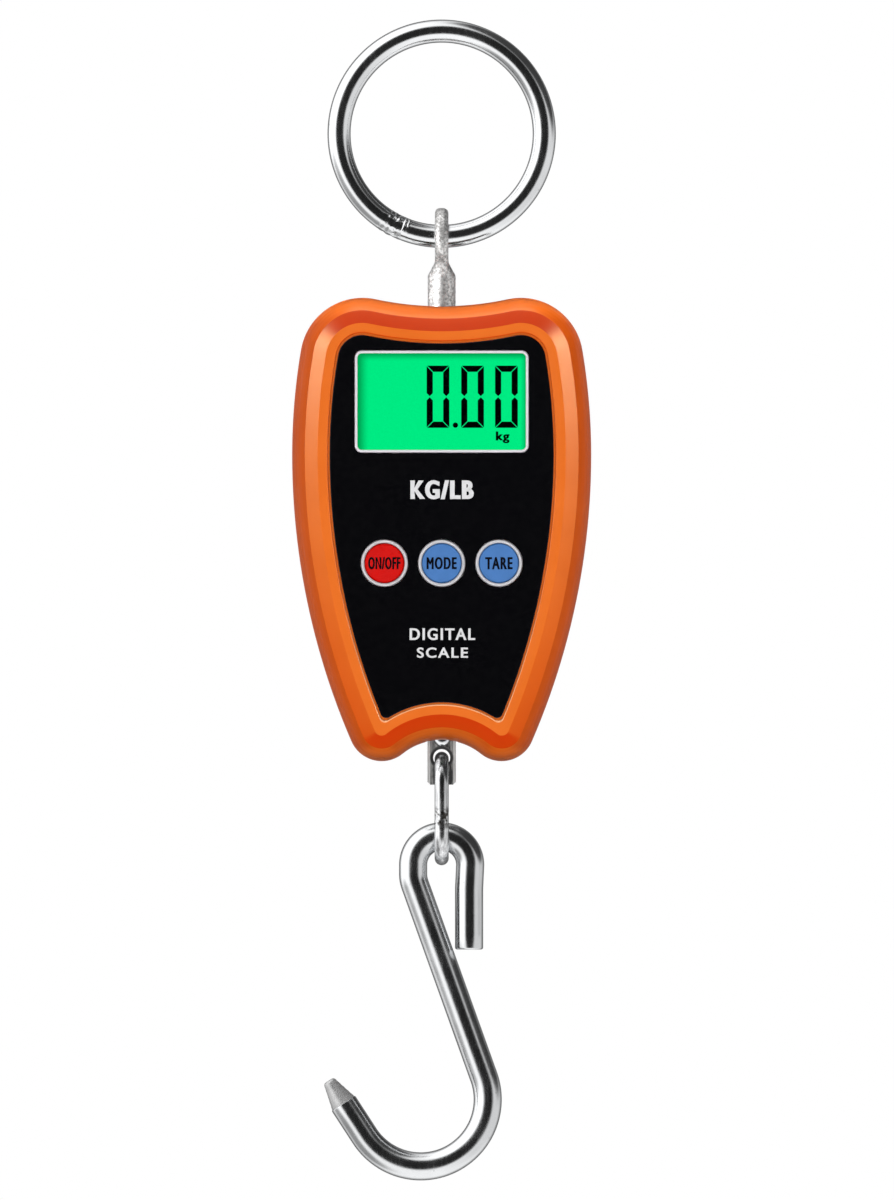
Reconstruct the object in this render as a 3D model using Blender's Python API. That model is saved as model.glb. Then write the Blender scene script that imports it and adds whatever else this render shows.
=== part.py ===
"""Hanging digital scale: a ring, an eye bolt, a two-shell housing, a link and an S-hook.

Every size below is in millimetres, in world axes: +Z up, +X to the right of someone who reads
the display, -Y towards that reader. The origin is the inner top of the hang ring, the point
that the scale hangs from. Meshes are made in metres.
"""
import math

import bmesh
import bpy
from mathutils import Matrix, Vector

MM = 0.001
GAP = 0.3                     # between neighbours that touch in the real object

# Hang ring, in the XZ plane.
RING_MEAN_R = 26.8
RING_WIRE_R = 3.2
RING_Z = RING_WIRE_R - RING_MEAN_R
RING_BOTTOM_Z = RING_Z - RING_MEAN_R

# Eye bolt: the eye's hole runs along X.
EYE_HOLE_R = 4.2
EYE_OUTER_R = 8.0
EYE_THICK = 3.5
EYE_Z = RING_BOTTOM_Z - 0.7
SHANK_R = 3.65
THREAD_R = 3.0
SHANK_TOP_Z = -61.0
SHANK_END_Z = -101.2
THREAD_END_Z = -119.6

# Housing outline: arcs that meet as tangents, symmetric about X = 0.
HALF_WIDTH = 39.3
WIDEST_Z = -108.0
TOP_DIP_Z = -68.9
TOP_CORNER = (20.8, -83.1)
TOP_CORNER_R = 16.4
ARCH_Z = -182.9
HORN = (15.75, -179.75)
HORN_R = 8.7
HORN_MIN_R = 1.5

# Housing sections, as (inset from the outline, y).
LAND_Y = -15.2                # flat land round the panel
RECESS_Y = -13.95             # floor under the panel
FRONT_INNER_Y = -12.5
REAR_Y = 18.0
REAR_INNER_Y = 16.2
PARTING_GAP = 0.3
FRONT_OUTER = [(0.0, 0.0), (0.1, -3.5), (0.45, -6.8), (1.25, -9.7), (2.2, -11.5), (3.4, -12.9),
               (6.8, LAND_Y), (9.7, LAND_Y), (9.9, -15.0), (9.9, RECESS_Y)]
FRONT_INNER = [(7.4, FRONT_INNER_Y), (4.6, -10.9), (3.2, -9.0), (2.4, -6.5), (2.0, 0.0),
               (2.0, 1.3), (1.15, 1.3), (1.15, 0.0)]
REAR_OUTER = [(0.0, PARTING_GAP), (0.1, 4.5), (0.5, 9.0), (1.5, 13.0), (3.4, 16.0), (6.0, 17.6),
              (8.0, REAR_Y)]
REAR_INNER = [(8.7, REAR_INNER_Y), (7.0, 16.0), (5.0, 14.9), (3.3, 12.6), (2.3, 9.0),
              (2.0, 1.7), (0.85, 1.7), (0.85, PARTING_GAP)]
SHANK_HOLE_R = 4.1
BAR_SLOT = (4.3, 3.4)         # half sizes of the slot that the load cell's bar leaves through

# Panel, display window and buttons.
PANEL_INSET = 10.1
PANEL_FRONT_Y = -14.8
PANEL_BACK_Y = -14.25
DISPLAY_Z = -94.1
WINDOW = (45.5, 26.7)         # outer size of the pale frame
WINDOW_CORNER_R = 1.85
FRAME_WIDTH = 0.7
BUTTON_Z = -136.45
BUTTONS = {"power": -15.0, "mode": 0.0, "tare": 15.0}
CAP_R = 5.15
RIM_INNER_R = 5.27
RIM_OUTER_R = 6.1
RIM_FLANGE_R = 6.9
BUTTON_TRAVEL = 0.5
PLUNGER_END_Y = -8.8

# Display stack and circuit board, by the y of each face.
BEZEL_FRONT_Y = -15.0
FLANGE_FRONT_Y = -12.2
FLANGE_BACK_Y = -11.6
LCD_Y = (-11.3, -9.7)
BACKLIGHT_Y = (-9.4, -7.5)
PCB_Y = (-7.0, -6.0)
PCB_X = 25.0
PCB_Z = (-146.0, -77.5)
PCB_SCREWS = [(-22.0, -115.0), (22.0, -115.0), (-22.0, -143.3), (22.0, -143.3)]

# Load cell: an S beam over a narrow bar.
CELL_X = 12.0
CELL_Y = 4.5
CELL_Z = (-160.0, -108.0)
CELL_SLOTS = ((-122.4, -120.8), (-147.2, -145.6))
CELL_SLOT_REACH = 7.0
CELL_WINDOW_Z = -134.0
CELL_WINDOW = (15.0, 10.0)
CELL_SCREW = (8.5, -154.0)
BAR_X = 3.72
BAR_Y = 2.8
WEB_Y = 1.8
BAR_END_Z = -194.6
CHANNEL_X = 2.95
BAR_HOLE_Z = -187.5
BAR_HOLE_R = 2.25
BAR_LAND_Y = 1.0              # half length of the hole's straight middle
COUNTERSINK_R = 2.9
RIVET_Z = -182.15

# Link and S-hook.
LINK_WIRE_R = 1.85
LINK_BEND_R = 6.65
LINK_TOP_Z = -187.8
LINK_BOTTOM_Z = -213.95
HOOK_WIRE_R = 3.7
HOOK_TOP_Z = -208.2
HOOK_EYE_R = 7.5
HOOK_LEAN = math.radians(19.7)
HOOK_BEND_R = 7.9
HOOK_LEG_END = (7.2, -237.9)
BOWL = (-5.5, -277.3)
BOWL_R = 17.6
BOWL_END = math.radians(33.0)  # below the horizontal, on the open side
TIP_STRAIGHT = 10.2
TIP_CONE = 7.1
TIP_SCALE = 0.46

# Shell screws, from the rear.
SHELL_SCREWS = [(-28.3, -83.5), (28.3, -83.5), (-20.5, -168.0), (20.5, -168.0)]
SCREW_SEAT_Y = 6.0

# Batteries, tray and door.
TRAY_X = 12.6
TRAY_Y = (4.8, 15.0)
TRAY_Z = (-137.7, -86.0)
TRAY_WALL = 1.0
BATTERY_R = 5.25
BATTERY_LENGTH = 43.5
BATTERY_X = 5.55
BATTERY_Y = 11.1
DOOR_X = 13.5
DOOR_Z = (-138.5, -83.5)
DOOR_INNER_Y = 16.6
DOOR_AXIS = (18.1, -83.4)     # y and z of the door's hinge


# ---------------------------------------------------------------- scene and materials

def clear_scene():
    """Remove whatever the file held."""
    for item in list(bpy.data.objects):
        bpy.data.objects.remove(item, do_unlink=True)


def material(name, colour, roughness, metallic=0.0):
    """A Principled material of one colour."""
    made = bpy.data.materials.new(name)
    made.use_nodes = True
    shader = made.node_tree.nodes["Principled BSDF"]
    shader.inputs["Base Color"].default_value = (*colour, 1.0)
    shader.inputs["Roughness"].default_value = roughness
    shader.inputs["Metallic"].default_value = metallic
    return made


clear_scene()
CHROME = material("chrome", (0.78, 0.79, 0.80), 0.12, 1.0)
ZINC = material("cast_zinc", (0.42, 0.42, 0.41), 0.45, 1.0)
STEEL = material("steel", (0.55, 0.55, 0.56), 0.3, 1.0)
DARK_STEEL = material("dark_steel", (0.10, 0.10, 0.11), 0.4, 1.0)
ORANGE = material("orange_plastic", (0.83, 0.19, 0.03), 0.35)
BLACK = material("black_panel", (0.004, 0.004, 0.005), 0.25)
FRAME_WHITE = material("frame_white", (0.80, 0.78, 0.82), 0.35)
LENS = material("clear_lens", (0.9, 0.95, 0.92), 0.05)
LCD_GREEN = material("lcd_green", (0.0, 0.82, 0.26), 0.3)
DIFFUSER = material("diffuser", (0.75, 0.9, 0.8), 0.5)
HOLDER = material("holder_plastic", (0.7, 0.7, 0.68), 0.5)
RUBBER = material("zebra_rubber", (0.05, 0.05, 0.05), 0.8)
BOARD = material("circuit_board", (0.02, 0.18, 0.07), 0.45)
CHIP = material("chip_plastic", (0.02, 0.02, 0.02), 0.5)
RED = material("red_cap", (0.75, 0.02, 0.01), 0.35)
BLUE = material("blue_cap", (0.07, 0.22, 0.58), 0.35)
SILVER = material("silver_rim", (0.72, 0.72, 0.76), 0.25, 1.0)
TRAY_BLACK = material("tray_plastic", (0.03, 0.03, 0.03), 0.5)
CELL_WRAP = material("battery_wrap", (0.12, 0.13, 0.15), 0.35)
SPRING_STEEL = material("spring_steel", (0.6, 0.6, 0.58), 0.3, 1.0)
LEAD_RED = material("lead_red", (0.6, 0.03, 0.02), 0.5)
LEAD_BLACK = material("lead_black", (0.02, 0.02, 0.02), 0.5)
LEAD_WHITE = material("lead_white", (0.7, 0.7, 0.68), 0.5)
GAUGE_FILM = material("gauge_film", (0.55, 0.32, 0.08), 0.4)


# ---------------------------------------------------------------- bodies

def pivot(name, at, parent=None):
    """An empty at a joint, which the pieces of one moving body are parented to."""
    empty = bpy.data.objects.new(name, None)
    bpy.context.collection.objects.link(empty)
    empty["at"] = at
    base = Vector(parent["at"]) if parent else Vector((0.0, 0.0, 0.0))
    empty.parent = parent
    empty.location = (Vector(at) - base) * MM
    return empty


RING_BODY = pivot("hang_point", (0.0, 0.0, 0.0))
HOUSING_BODY = pivot("housing_pivot", (0.0, 0.0, RING_BOTTOM_Z), RING_BODY)
LINK_BODY = pivot("link_pivot", (0.0, 0.0, LINK_TOP_Z), HOUSING_BODY)
HOOK_BODY = pivot("hook_pivot", (0.0, 0.0, HOOK_TOP_Z), LINK_BODY)
DOOR_BODY = pivot("door_hinge", (0.0, *DOOR_AXIS), HOUSING_BODY)
BUTTON_BODIES = {name: pivot(name + "_guide", (x, PANEL_FRONT_Y, BUTTON_Z), HOUSING_BODY)
                 for name, x in BUTTONS.items()}


def put(item, finish, body, at=(0.0, 0.0, 0.0)):
    """Give an object its material and its place on a body; at is in world millimetres."""
    item.data.materials.clear()
    item.data.materials.append(finish)
    item.parent = body
    item.location = (Vector(at) - Vector(body["at"])) * MM
    return item


# ---------------------------------------------------------------- shapes

def object_from(bm, name, smooth_angle=40.0):
    """Turn a millimetre bmesh into an object in metres, with its faces pointing out."""
    bmesh.ops.recalc_face_normals(bm, faces=bm.faces)
    mesh = bpy.data.meshes.new(name)
    bm.to_mesh(mesh)
    bm.free()
    mesh.transform(Matrix.Scale(MM, 4))
    mesh.shade_smooth()
    mesh.set_sharp_from_angle(angle=math.radians(smooth_angle))
    item = bpy.data.objects.new(name, mesh)
    bpy.context.collection.objects.link(item)
    return item


def loft(name, loops, smooth_angle=40.0):
    """A closed solid through loops of equal point count, capped at both ends."""
    bm = bmesh.new()
    rings = [[bm.verts.new(point) for point in loop] for loop in loops]
    for low, high in zip(rings, rings[1:]):
        for i in range(len(low)):
            j = (i + 1) % len(low)
            bm.faces.new((low[i], low[j], high[j], high[i]))
    bm.faces.new(rings[0])
    bm.faces.new(rings[-1])
    return object_from(bm, name, smooth_angle)


def slab(name, outline_xz, y_front, y_back):
    """An outline in the XZ plane, extruded along Y."""
    loops = [[(x, y, z) for x, z in outline_xz] for y in (y_front, y_back)]
    return loft(name, loops)


def circle(radius, count, centre=(0.0, 0.0), turn=0.0):
    """Points of a circle in a plane."""
    return [(centre[0] + radius * math.cos(turn + math.tau * i / count),
             centre[1] + radius * math.sin(turn + math.tau * i / count)) for i in range(count)]


def rounded_rectangle(width, height, radius, centre=(0.0, 0.0), steps=3):
    """Points of a rectangle with round corners in a plane."""
    points = []
    corners = [(1, 1, 0), (-1, 1, 90), (-1, -1, 180), (1, -1, 270)]
    for side_x, side_z, start in corners:
        for i in range(steps + 1):
            angle = math.radians(start + 90.0 * i / steps)
            points.append((centre[0] + side_x * (width / 2 - radius) + radius * math.cos(angle),
                           centre[1] + side_z * (height / 2 - radius) + radius * math.sin(angle)))
    return points


def turned(name, profile, steps=24, axis="Y", smooth_angle=40.0):
    """A profile of (radius, height) turned about an axis; it closes on the axis or on itself."""
    bm = bmesh.new()
    line = [bm.verts.new((radius, 0.0, height)) for radius, height in profile]
    edges = [bm.edges.new(pair) for pair in zip(line, line[1:])]
    if profile[0][0] > 0.0 and profile[-1][0] > 0.0:
        edges.append(bm.edges.new((line[-1], line[0])))
    bmesh.ops.spin(bm, geom=line + edges, angle=math.tau, steps=steps, axis=(0, 0, 1),
                   cent=(0, 0, 0), use_merge=True)
    bmesh.ops.remove_doubles(bm, verts=bm.verts, dist=0.0005)
    if axis == "Y":
        bmesh.ops.rotate(bm, verts=bm.verts, matrix=Matrix.Rotation(math.radians(-90), 3, "X"))
    elif axis == "X":
        bmesh.ops.rotate(bm, verts=bm.verts, matrix=Matrix.Rotation(math.radians(90), 3, "Y"))
    return object_from(bm, name, smooth_angle)


def rod(name, radius, low, high, steps=16, axis="Y", bevel=0.0):
    """A plain round bar along an axis, with chamfered ends if asked."""
    profile = [(0.0, low), (radius - bevel, low), (radius, low + bevel), (radius, high - bevel),
               (radius - bevel, high), (0.0, high)]
    if bevel == 0.0:
        profile = [(0.0, low), (radius, low), (radius, high), (0.0, high)]
    return turned(name, profile, steps, axis)


def block(name, low, high, bevel=0.0):
    """A box between two corners, with its edges bevelled if asked."""
    bm = bmesh.new()
    bmesh.ops.create_cube(bm, size=1.0)
    size = Vector(high) - Vector(low)
    bmesh.ops.scale(bm, verts=bm.verts, vec=size)
    bmesh.ops.translate(bm, verts=bm.verts, vec=(Vector(high) + Vector(low)) / 2)
    if bevel:
        bmesh.ops.bevel(bm, geom=bm.edges, offset=bevel, segments=1, affect="EDGES")
    return object_from(bm, name)


def wire(name, points, radius, sides=10, cyclic=False, scales=None):
    """A round wire along points, as a curve with a bevel and filled caps."""
    curve = bpy.data.curves.new(name, "CURVE")
    curve.dimensions = "3D"
    curve.twist_mode = "MINIMUM"
    curve.bevel_depth = radius * MM
    curve.bevel_resolution = sides // 2 - 2
    curve.use_fill_caps = not cyclic
    spline = curve.splines.new("POLY")
    spline.points.add(len(points) - 1)
    spline.use_cyclic_u = cyclic
    spline.use_smooth = True
    for i, point in enumerate(points):
        spline.points[i].co = (*(Vector(point) * MM), 1.0)
        spline.points[i].radius = scales[i] if scales else 1.0
    item = bpy.data.objects.new(name, curve)
    bpy.context.collection.objects.link(item)
    return item


def smooth_route(knots, per_span=5):
    """Points on a smooth curve through the knots (a Catmull-Rom spline)."""
    ends = [2 * Vector(knots[0]) - Vector(knots[1])] + [Vector(knot) for knot in knots]
    ends.append(2 * Vector(knots[-1]) - Vector(knots[-2]))
    route = []
    for before, start, end, after in zip(ends, ends[1:], ends[2:], ends[3:]):
        for i in range(per_span):
            t = i / per_span
            route.append(0.5 * (2 * start + (end - before) * t
                                + (2 * before - 5 * start + 4 * end - after) * t ** 2
                                + (3 * start - before - 3 * end + after) * t ** 3))
    route.append(ends[-2])
    return route


def boolean(item, tool, operation="DIFFERENCE", at=(0.0, 0.0, 0.0)):
    """Cut or join with a tool that the build leaves out; both are in world millimetres."""
    tool.parent = item.parent
    tool.location = (Vector(at) - (Vector(item.parent["at"]) if item.parent else Vector())) * MM
    tool.hide_render = True
    tool.display_type = "WIRE"
    step = item.modifiers.new(tool.name, "BOOLEAN")
    step.operation = operation
    step.solver = "EXACT"
    step.object = tool
    return item


def arc(centre, radius, start, end, steps):
    """Points on an arc in the XZ plane, without the last one."""
    angles = [start + (end - start) * i / steps for i in range(steps)]
    return [(centre[0] + radius * math.cos(a), centre[1] + radius * math.sin(a)) for a in angles]


# ---------------------------------------------------------------- housing outline

def tangent_side(corner, corner_r):
    """Radius of the side arc that touches the outline's widest point and a corner circle."""
    across = HALF_WIDTH - corner[0]
    along = corner[1] - WIDEST_Z
    return (across ** 2 + along ** 2 - corner_r ** 2) / (2 * (across - corner_r))


def tangent_hollow(corner, corner_r, edge_z):
    """Radius of the hollow arc on X = 0 that touches edge_z and a corner circle."""
    along = abs(corner[1] - edge_z)
    return (corner[0] ** 2 + along ** 2 - corner_r ** 2) / (2 * (corner_r - along))


UPPER_SIDE_R = tangent_side(TOP_CORNER, TOP_CORNER_R)
LOWER_SIDE_R = tangent_side(HORN, HORN_R)
DIP_R = tangent_hollow(TOP_CORNER, TOP_CORNER_R, TOP_DIP_Z)
ARCH_R = tangent_hollow(HORN, HORN_R, ARCH_Z)


def horn_circle(inset):
    """Centre and radius of the bottom corner, which keeps a least radius as the outline shrinks."""
    radius = max(HORN_R - inset, HORN_MIN_R)
    side = Vector((HALF_WIDTH - LOWER_SIDE_R, WIDEST_Z))
    arch = Vector((0.0, ARCH_Z - ARCH_R))
    to_side = LOWER_SIDE_R - inset - radius
    to_arch = ARCH_R + inset + radius
    apart = (arch - side).length
    along = (to_side ** 2 - to_arch ** 2 + apart ** 2) / (2 * apart)
    across = math.sqrt(to_side ** 2 - along ** 2)
    line = (arch - side).normalized()
    return side + along * line + across * Vector((-line.y, line.x)), radius


def outline(inset):
    """The housing's outline in the XZ plane, moved inwards by inset."""
    dip = (0.0, TOP_DIP_Z + DIP_R)
    upper = (HALF_WIDTH - UPPER_SIDE_R, WIDEST_Z)
    lower = (HALF_WIDTH - LOWER_SIDE_R, WIDEST_Z)
    arch = (0.0, ARCH_Z - ARCH_R)
    horn, horn_r = horn_circle(inset)

    def bearing(start, end):
        return math.atan2(end[1] - start[1], end[0] - start[0])

    half = arc(dip, DIP_R + inset, -math.pi / 2, bearing(dip, TOP_CORNER), 3)
    half += arc(TOP_CORNER, TOP_CORNER_R - inset, bearing(TOP_CORNER, dip),
                bearing(upper, TOP_CORNER), 7)
    half += arc(upper, UPPER_SIDE_R - inset, bearing(upper, TOP_CORNER), 0.0, 2)
    half += arc(lower, LOWER_SIDE_R - inset, 0.0, bearing(lower, horn), 4)
    half += arc(horn, horn_r, bearing(lower, horn), bearing(horn, arch), 6)
    half += arc(arch, ARCH_R + inset, bearing(arch, horn), math.pi / 2, 4)
    half.append((0.0, ARCH_Z + inset))
    return half + [(-x, z) for x, z in half[-2:0:-1]]


def shell(name, section):
    """A shell whose wall follows a section of (inset, y) round the outline."""
    return loft(name, [[(x, y, z) for x, z in outline(inset)] for inset, y in section], 25.0)


# ---------------------------------------------------------------- hanging parts

def make_ring():
    bpy.ops.mesh.primitive_torus_add(major_radius=RING_MEAN_R * MM, minor_radius=RING_WIRE_R * MM,
                                     major_segments=48, minor_segments=10)
    ring = bpy.context.object
    ring.name = "hang_ring"
    ring.data.transform(Matrix.Rotation(math.radians(90), 4, "X"))
    ring.data.shade_smooth()
    put(ring, CHROME, RING_BODY, (0.0, 0.0, RING_Z))


def make_eye_bolt():
    half = EYE_THICK / 2
    edge = 0.9
    eye = turned("eye_bolt", [(EYE_HOLE_R, -half + edge), (EYE_HOLE_R + edge, -half),
                              (EYE_OUTER_R - edge, -half), (EYE_OUTER_R, -half + edge),
                              (EYE_OUTER_R, half - edge), (EYE_OUTER_R - edge, half),
                              (EYE_HOLE_R + edge, half), (EYE_HOLE_R, half - edge)], 24, "X", 60.0)
    put(eye, ZINC, HOUSING_BODY, (0.0, 0.0, EYE_Z))
    sections = [(EYE_Z - EYE_HOLE_R - 1.4, half - 0.1, 5.4), (EYE_Z - EYE_OUTER_R + 1.2, half - 0.05, 4.9),
                (SHANK_TOP_Z, SHANK_R, SHANK_R), (SHANK_END_Z, SHANK_R, SHANK_R),
                (SHANK_END_Z - 0.4, THREAD_R, THREAD_R), (THREAD_END_Z + 0.6, THREAD_R, THREAD_R),
                (THREAD_END_Z, THREAD_R - 0.6, THREAD_R - 0.6)]
    loops = [[(x * rx, y * ry, z) for x, y in circle(1.0, 18)] for z, rx, ry in sections]
    boolean(eye, loft("eye_bolt_shank_tool", loops), "UNION")

    nut = slab("eye_bolt_nut", circle(4.5 / math.cos(math.radians(30)), 6), -106.2, -101.8)
    nut.data.transform(Matrix.Rotation(math.radians(90), 4, "X"))
    put(nut, STEEL, HOUSING_BODY)
    boolean(nut, rod("nut_hole_tool", THREAD_R + GAP, -110.0, -98.0, 18, "Z"))
    washer = turned("eye_bolt_washer", [(THREAD_R + GAP, -107.6), (4.5, -107.6), (4.5, -106.5),
                                        (THREAD_R + GAP, -106.5)], 20, "Z")
    put(washer, STEEL, HOUSING_BODY)


def make_load_cell():
    low, high = CELL_Z
    upper, lower = CELL_SLOTS
    beam = [(-CELL_X, high), (CELL_X, high), (CELL_X, lower[1]), (-CELL_SLOT_REACH, lower[1]),
            (-CELL_SLOT_REACH, lower[0]), (CELL_X, lower[0]), (CELL_X, low), (-CELL_X, low),
            (-CELL_X, upper[0]), (CELL_SLOT_REACH, upper[0]), (CELL_SLOT_REACH, upper[1]),
            (-CELL_X, upper[1])]
    cell = slab("load_cell", beam, -CELL_Y, CELL_Y)
    put(cell, DARK_STEEL, HOUSING_BODY)
    chamfer = 0.7
    bar = [(-BAR_X, low + 2.0), (BAR_X, low + 2.0), (BAR_X, BAR_END_Z + chamfer),
           (BAR_X - chamfer, BAR_END_Z), (-BAR_X + chamfer, BAR_END_Z), (-BAR_X, BAR_END_Z + chamfer)]
    boolean(cell, slab("cell_bar_tool", bar, -BAR_Y, BAR_Y), "UNION")
    window = rounded_rectangle(*CELL_WINDOW, CELL_WINDOW[1] / 2 - 0.01, (0.0, CELL_WINDOW_Z), 6)
    boolean(cell, slab("cell_window_tool", window, -6.0, 6.0))
    boolean(cell, rod("cell_thread_tool", THREAD_R + GAP, upper[0] + 0.8, high + 1.0, 18, "Z"))
    for side in (-1, 1):
        hole = rod("cell_screw_hole_tool", 1.25, -6.0, 6.0, 12)
        boolean(cell, hole, at=(side * CELL_SCREW[0], 0.0, CELL_SCREW[1]))
        channel = [(-CHANNEL_X, -165.0), (CHANNEL_X, -165.0), (CHANNEL_X, -198.0), (-CHANNEL_X, -198.0)]
        faces = sorted((side * WEB_Y, side * (BAR_Y + 1.0)))
        boolean(cell, slab("bar_channel_tool", channel, *faces))
    mouth_y = WEB_Y + 0.3
    mouth = [(BAR_HOLE_R, BAR_LAND_Y), (COUNTERSINK_R + 0.25, mouth_y), (0.0, mouth_y)]
    bell = [(radius, -y) for radius, y in reversed(mouth)] + mouth
    boolean(cell, turned("bar_hole_tool", bell, 20), at=(0.0, 0.0, BAR_HOLE_Z))
    boolean(cell, rod("rivet_hole_tool", 1.5, -3.0, 3.0, 12), at=(0.0, 0.0, RIVET_Z))

    head = WEB_Y + GAP
    rivet = turned("tab_rivet", [(0.0, -head - 0.9), (1.8, -head - 0.75), (2.4, -head - 0.2), (2.4, -head),
                                 (1.2, -head), (1.2, head), (2.4, head), (2.4, head + 0.2),
                                 (1.8, head + 0.75), (0.0, head + 0.9)], 14)
    put(rivet, CHROME, HOUSING_BODY, (0.0, 0.0, RIVET_Z))
    reach = CELL_WINDOW[1] / 2 - GAP
    for name, side in (("strain_gauge_upper", 1), ("strain_gauge_lower", -1)):
        levels = sorted((CELL_WINDOW_Z + side * reach, CELL_WINDOW_Z + side * (reach - 0.3)))
        gauge = block(name, (-2.3, -2.0, levels[0]), (2.3, 2.0, levels[1]))
        put(gauge, GAUGE_FILM, HOUSING_BODY)


def make_link():
    centre_low = LINK_BOTTOM_Z + LINK_BEND_R
    centre_high = LINK_TOP_Z - LINK_BEND_R
    path = arc((0.0, centre_high), LINK_BEND_R, 0.0, math.pi, 10) + [(-LINK_BEND_R, centre_high)]
    path += arc((0.0, centre_low), LINK_BEND_R, math.pi, math.tau, 10) + [(LINK_BEND_R, centre_low)]
    link = wire("chain_link", [(0.0, y, z - LINK_TOP_Z) for y, z in path], LINK_WIRE_R, 10, True)
    put(link, CHROME, LINK_BODY, (0.0, 0.0, LINK_TOP_Z))


def hook_path():
    """Centreline of the S-hook from the short leg to the tip, with the wire's scale at each point."""
    eye = (0.0, HOOK_TOP_Z - HOOK_EYE_R)
    bend_x = HOOK_BEND_R - HOOK_EYE_R
    bowl_start = (BOWL[0] + BOWL_R * math.cos(HOOK_LEAN), BOWL[1] + BOWL_R * math.sin(HOOK_LEAN))
    bend_end_x = bend_x - HOOK_BEND_R * math.cos(HOOK_LEAN)
    bend_end_z = bowl_start[1] + (bowl_start[0] - bend_end_x) / math.tan(HOOK_LEAN)
    bend = (bend_x, bend_end_z + HOOK_BEND_R * math.sin(HOOK_LEAN))

    path = [HOOK_LEG_END, (HOOK_LEG_END[0], HOOK_LEG_END[1] + 0.9)]
    scales = [0.72, 1.0]
    path += arc(eye, HOOK_EYE_R, 0.0, math.pi, 10)
    path += [(-HOOK_EYE_R, eye[1])]
    path += arc(bend, HOOK_BEND_R, math.pi, math.pi + HOOK_LEAN, 3)
    path += [(bend_end_x, bend_end_z)]
    path += arc(BOWL, BOWL_R, HOOK_LEAN, -math.pi + BOWL_END, 16)
    end_angle = -math.pi + BOWL_END
    end = (BOWL[0] + BOWL_R * math.cos(end_angle), BOWL[1] + BOWL_R * math.sin(end_angle))
    way = (math.sin(end_angle), -math.cos(end_angle))
    path.append(end)
    for reach, scale in ((TIP_STRAIGHT, 1.0), (TIP_STRAIGHT + TIP_CONE - 0.8, TIP_SCALE + 0.06),
                         (TIP_STRAIGHT + TIP_CONE, TIP_SCALE * 0.6)):
        path.append((end[0] + way[0] * reach, end[1] + way[1] * reach))
        scales.append(scale)
    tip_scales = scales[2:]
    return path, scales[:2] + [1.0] * (len(path) - 2 - len(tip_scales)) + tip_scales


def make_hook():
    path, scales = hook_path()
    hook = wire("s_hook", [(x, 0.0, z - HOOK_TOP_Z) for x, z in path], HOOK_WIRE_R, 12, False, scales)
    put(hook, CHROME, HOOK_BODY, (0.0, 0.0, HOOK_TOP_Z))


# ---------------------------------------------------------------- housing

def cut_both(item):
    """The ways out for the eye bolt's shank and the load cell's bar."""
    boolean(item, rod("shank_way_tool", SHANK_HOLE_R, -80.0, -60.0, 24, "Z"))
    x, y = BAR_SLOT
    boolean(item, block("bar_way_tool", (-x, -y, -190.0), (x, y, -176.0)))


def make_front_shell():
    body = shell("front_shell", FRONT_INNER + FRONT_OUTER)
    put(body, ORANGE, HOUSING_BODY)
    for x, z in SHELL_SCREWS:
        boolean(body, rod("screw_post_tool", 2.9, -13.2, 0.2, 14), "UNION", (x, 0.0, z))
        boolean(body, rod("screw_post_hole_tool", 1.4, -10.0, 1.0, 10), at=(x, 0.0, z))
    for x, z in PCB_SCREWS:
        boolean(body, rod("board_post_tool", 2.2, -13.2, PCB_Y[0] - GAP, 12), "UNION", (x, 0.0, z))
        boolean(body, rod("board_post_hole_tool", 1.15, -12.0, -5.0, 10), at=(x, 0.0, z))
    window = rounded_rectangle(WINDOW[0] + 2 * GAP, WINDOW[1] + 2 * GAP, WINDOW_CORNER_R + GAP,
                               (0.0, DISPLAY_Z))
    boolean(body, slab("window_way_tool", window, -17.0, -12.0))
    for x in BUTTONS.values():
        boolean(body, rod("button_way_tool", RIM_OUTER_R + GAP, -17.0, -12.0, 22),
                at=(x, 0.0, BUTTON_Z))
    cut_both(body)


def make_rear_shell():
    body = shell("rear_shell", REAR_INNER + REAR_OUTER)
    put(body, ORANGE, HOUSING_BODY)
    for x, z in SHELL_SCREWS:
        boolean(body, rod("screw_tower_tool", 3.8, 0.6, 16.6, 14), "UNION", (x, 0.0, z))
        boolean(body, rod("screw_tower_seat_tool", 2.9, SCREW_SEAT_Y, 20.0, 14), at=(x, 0.0, z))
        boolean(body, rod("screw_tower_hole_tool", 1.4, -1.0, 8.0, 10), at=(x, 0.0, z))
    for side in (-1, 1):
        at = (side * CELL_SCREW[0], 0.0, CELL_SCREW[1])
        boolean(body, rod("cell_post_tool", 2.8, CELL_Y + GAP, 17.0, 14), "UNION", at)
        boolean(body, rod("cell_post_hole_tool", 1.25, 2.0, 14.0, 10), at=at)
    door = rounded_rectangle(2 * (DOOR_X + GAP), DOOR_Z[1] - DOOR_Z[0] + 2 * GAP, 1.3,
                             (0.0, (DOOR_Z[0] + DOOR_Z[1]) / 2), 3)
    boolean(body, slab("door_way_tool", door, 15.5, 20.0))
    cut_both(body)


def screw(name, head_r, head_y, shaft_r, tip_y, x, z, height=1.6):
    """A pan-head screw along Y whose head starts at head_y and whose shaft ends at tip_y."""
    away = 1 if head_y > tip_y else -1
    profile = [(0.0, head_y + away * height), (head_r * 0.75, head_y + away * height),
               (head_r, head_y + away * height * 0.5), (head_r, head_y), (shaft_r, head_y),
               (shaft_r, tip_y + away * 0.6), (0.0, tip_y)]
    made = turned(name, profile, 14)
    put(made, STEEL, HOUSING_BODY, (x, 0.0, z))
    slot_y = sorted((head_y + away * height * 0.5, head_y + away * (height + 1.0)))
    slot = block("screw_slot_tool", (-head_r * 0.6, slot_y[0], -0.3), (head_r * 0.6, slot_y[1], 0.3))
    boolean(made, slot, at=(x, 0.0, z))


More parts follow.
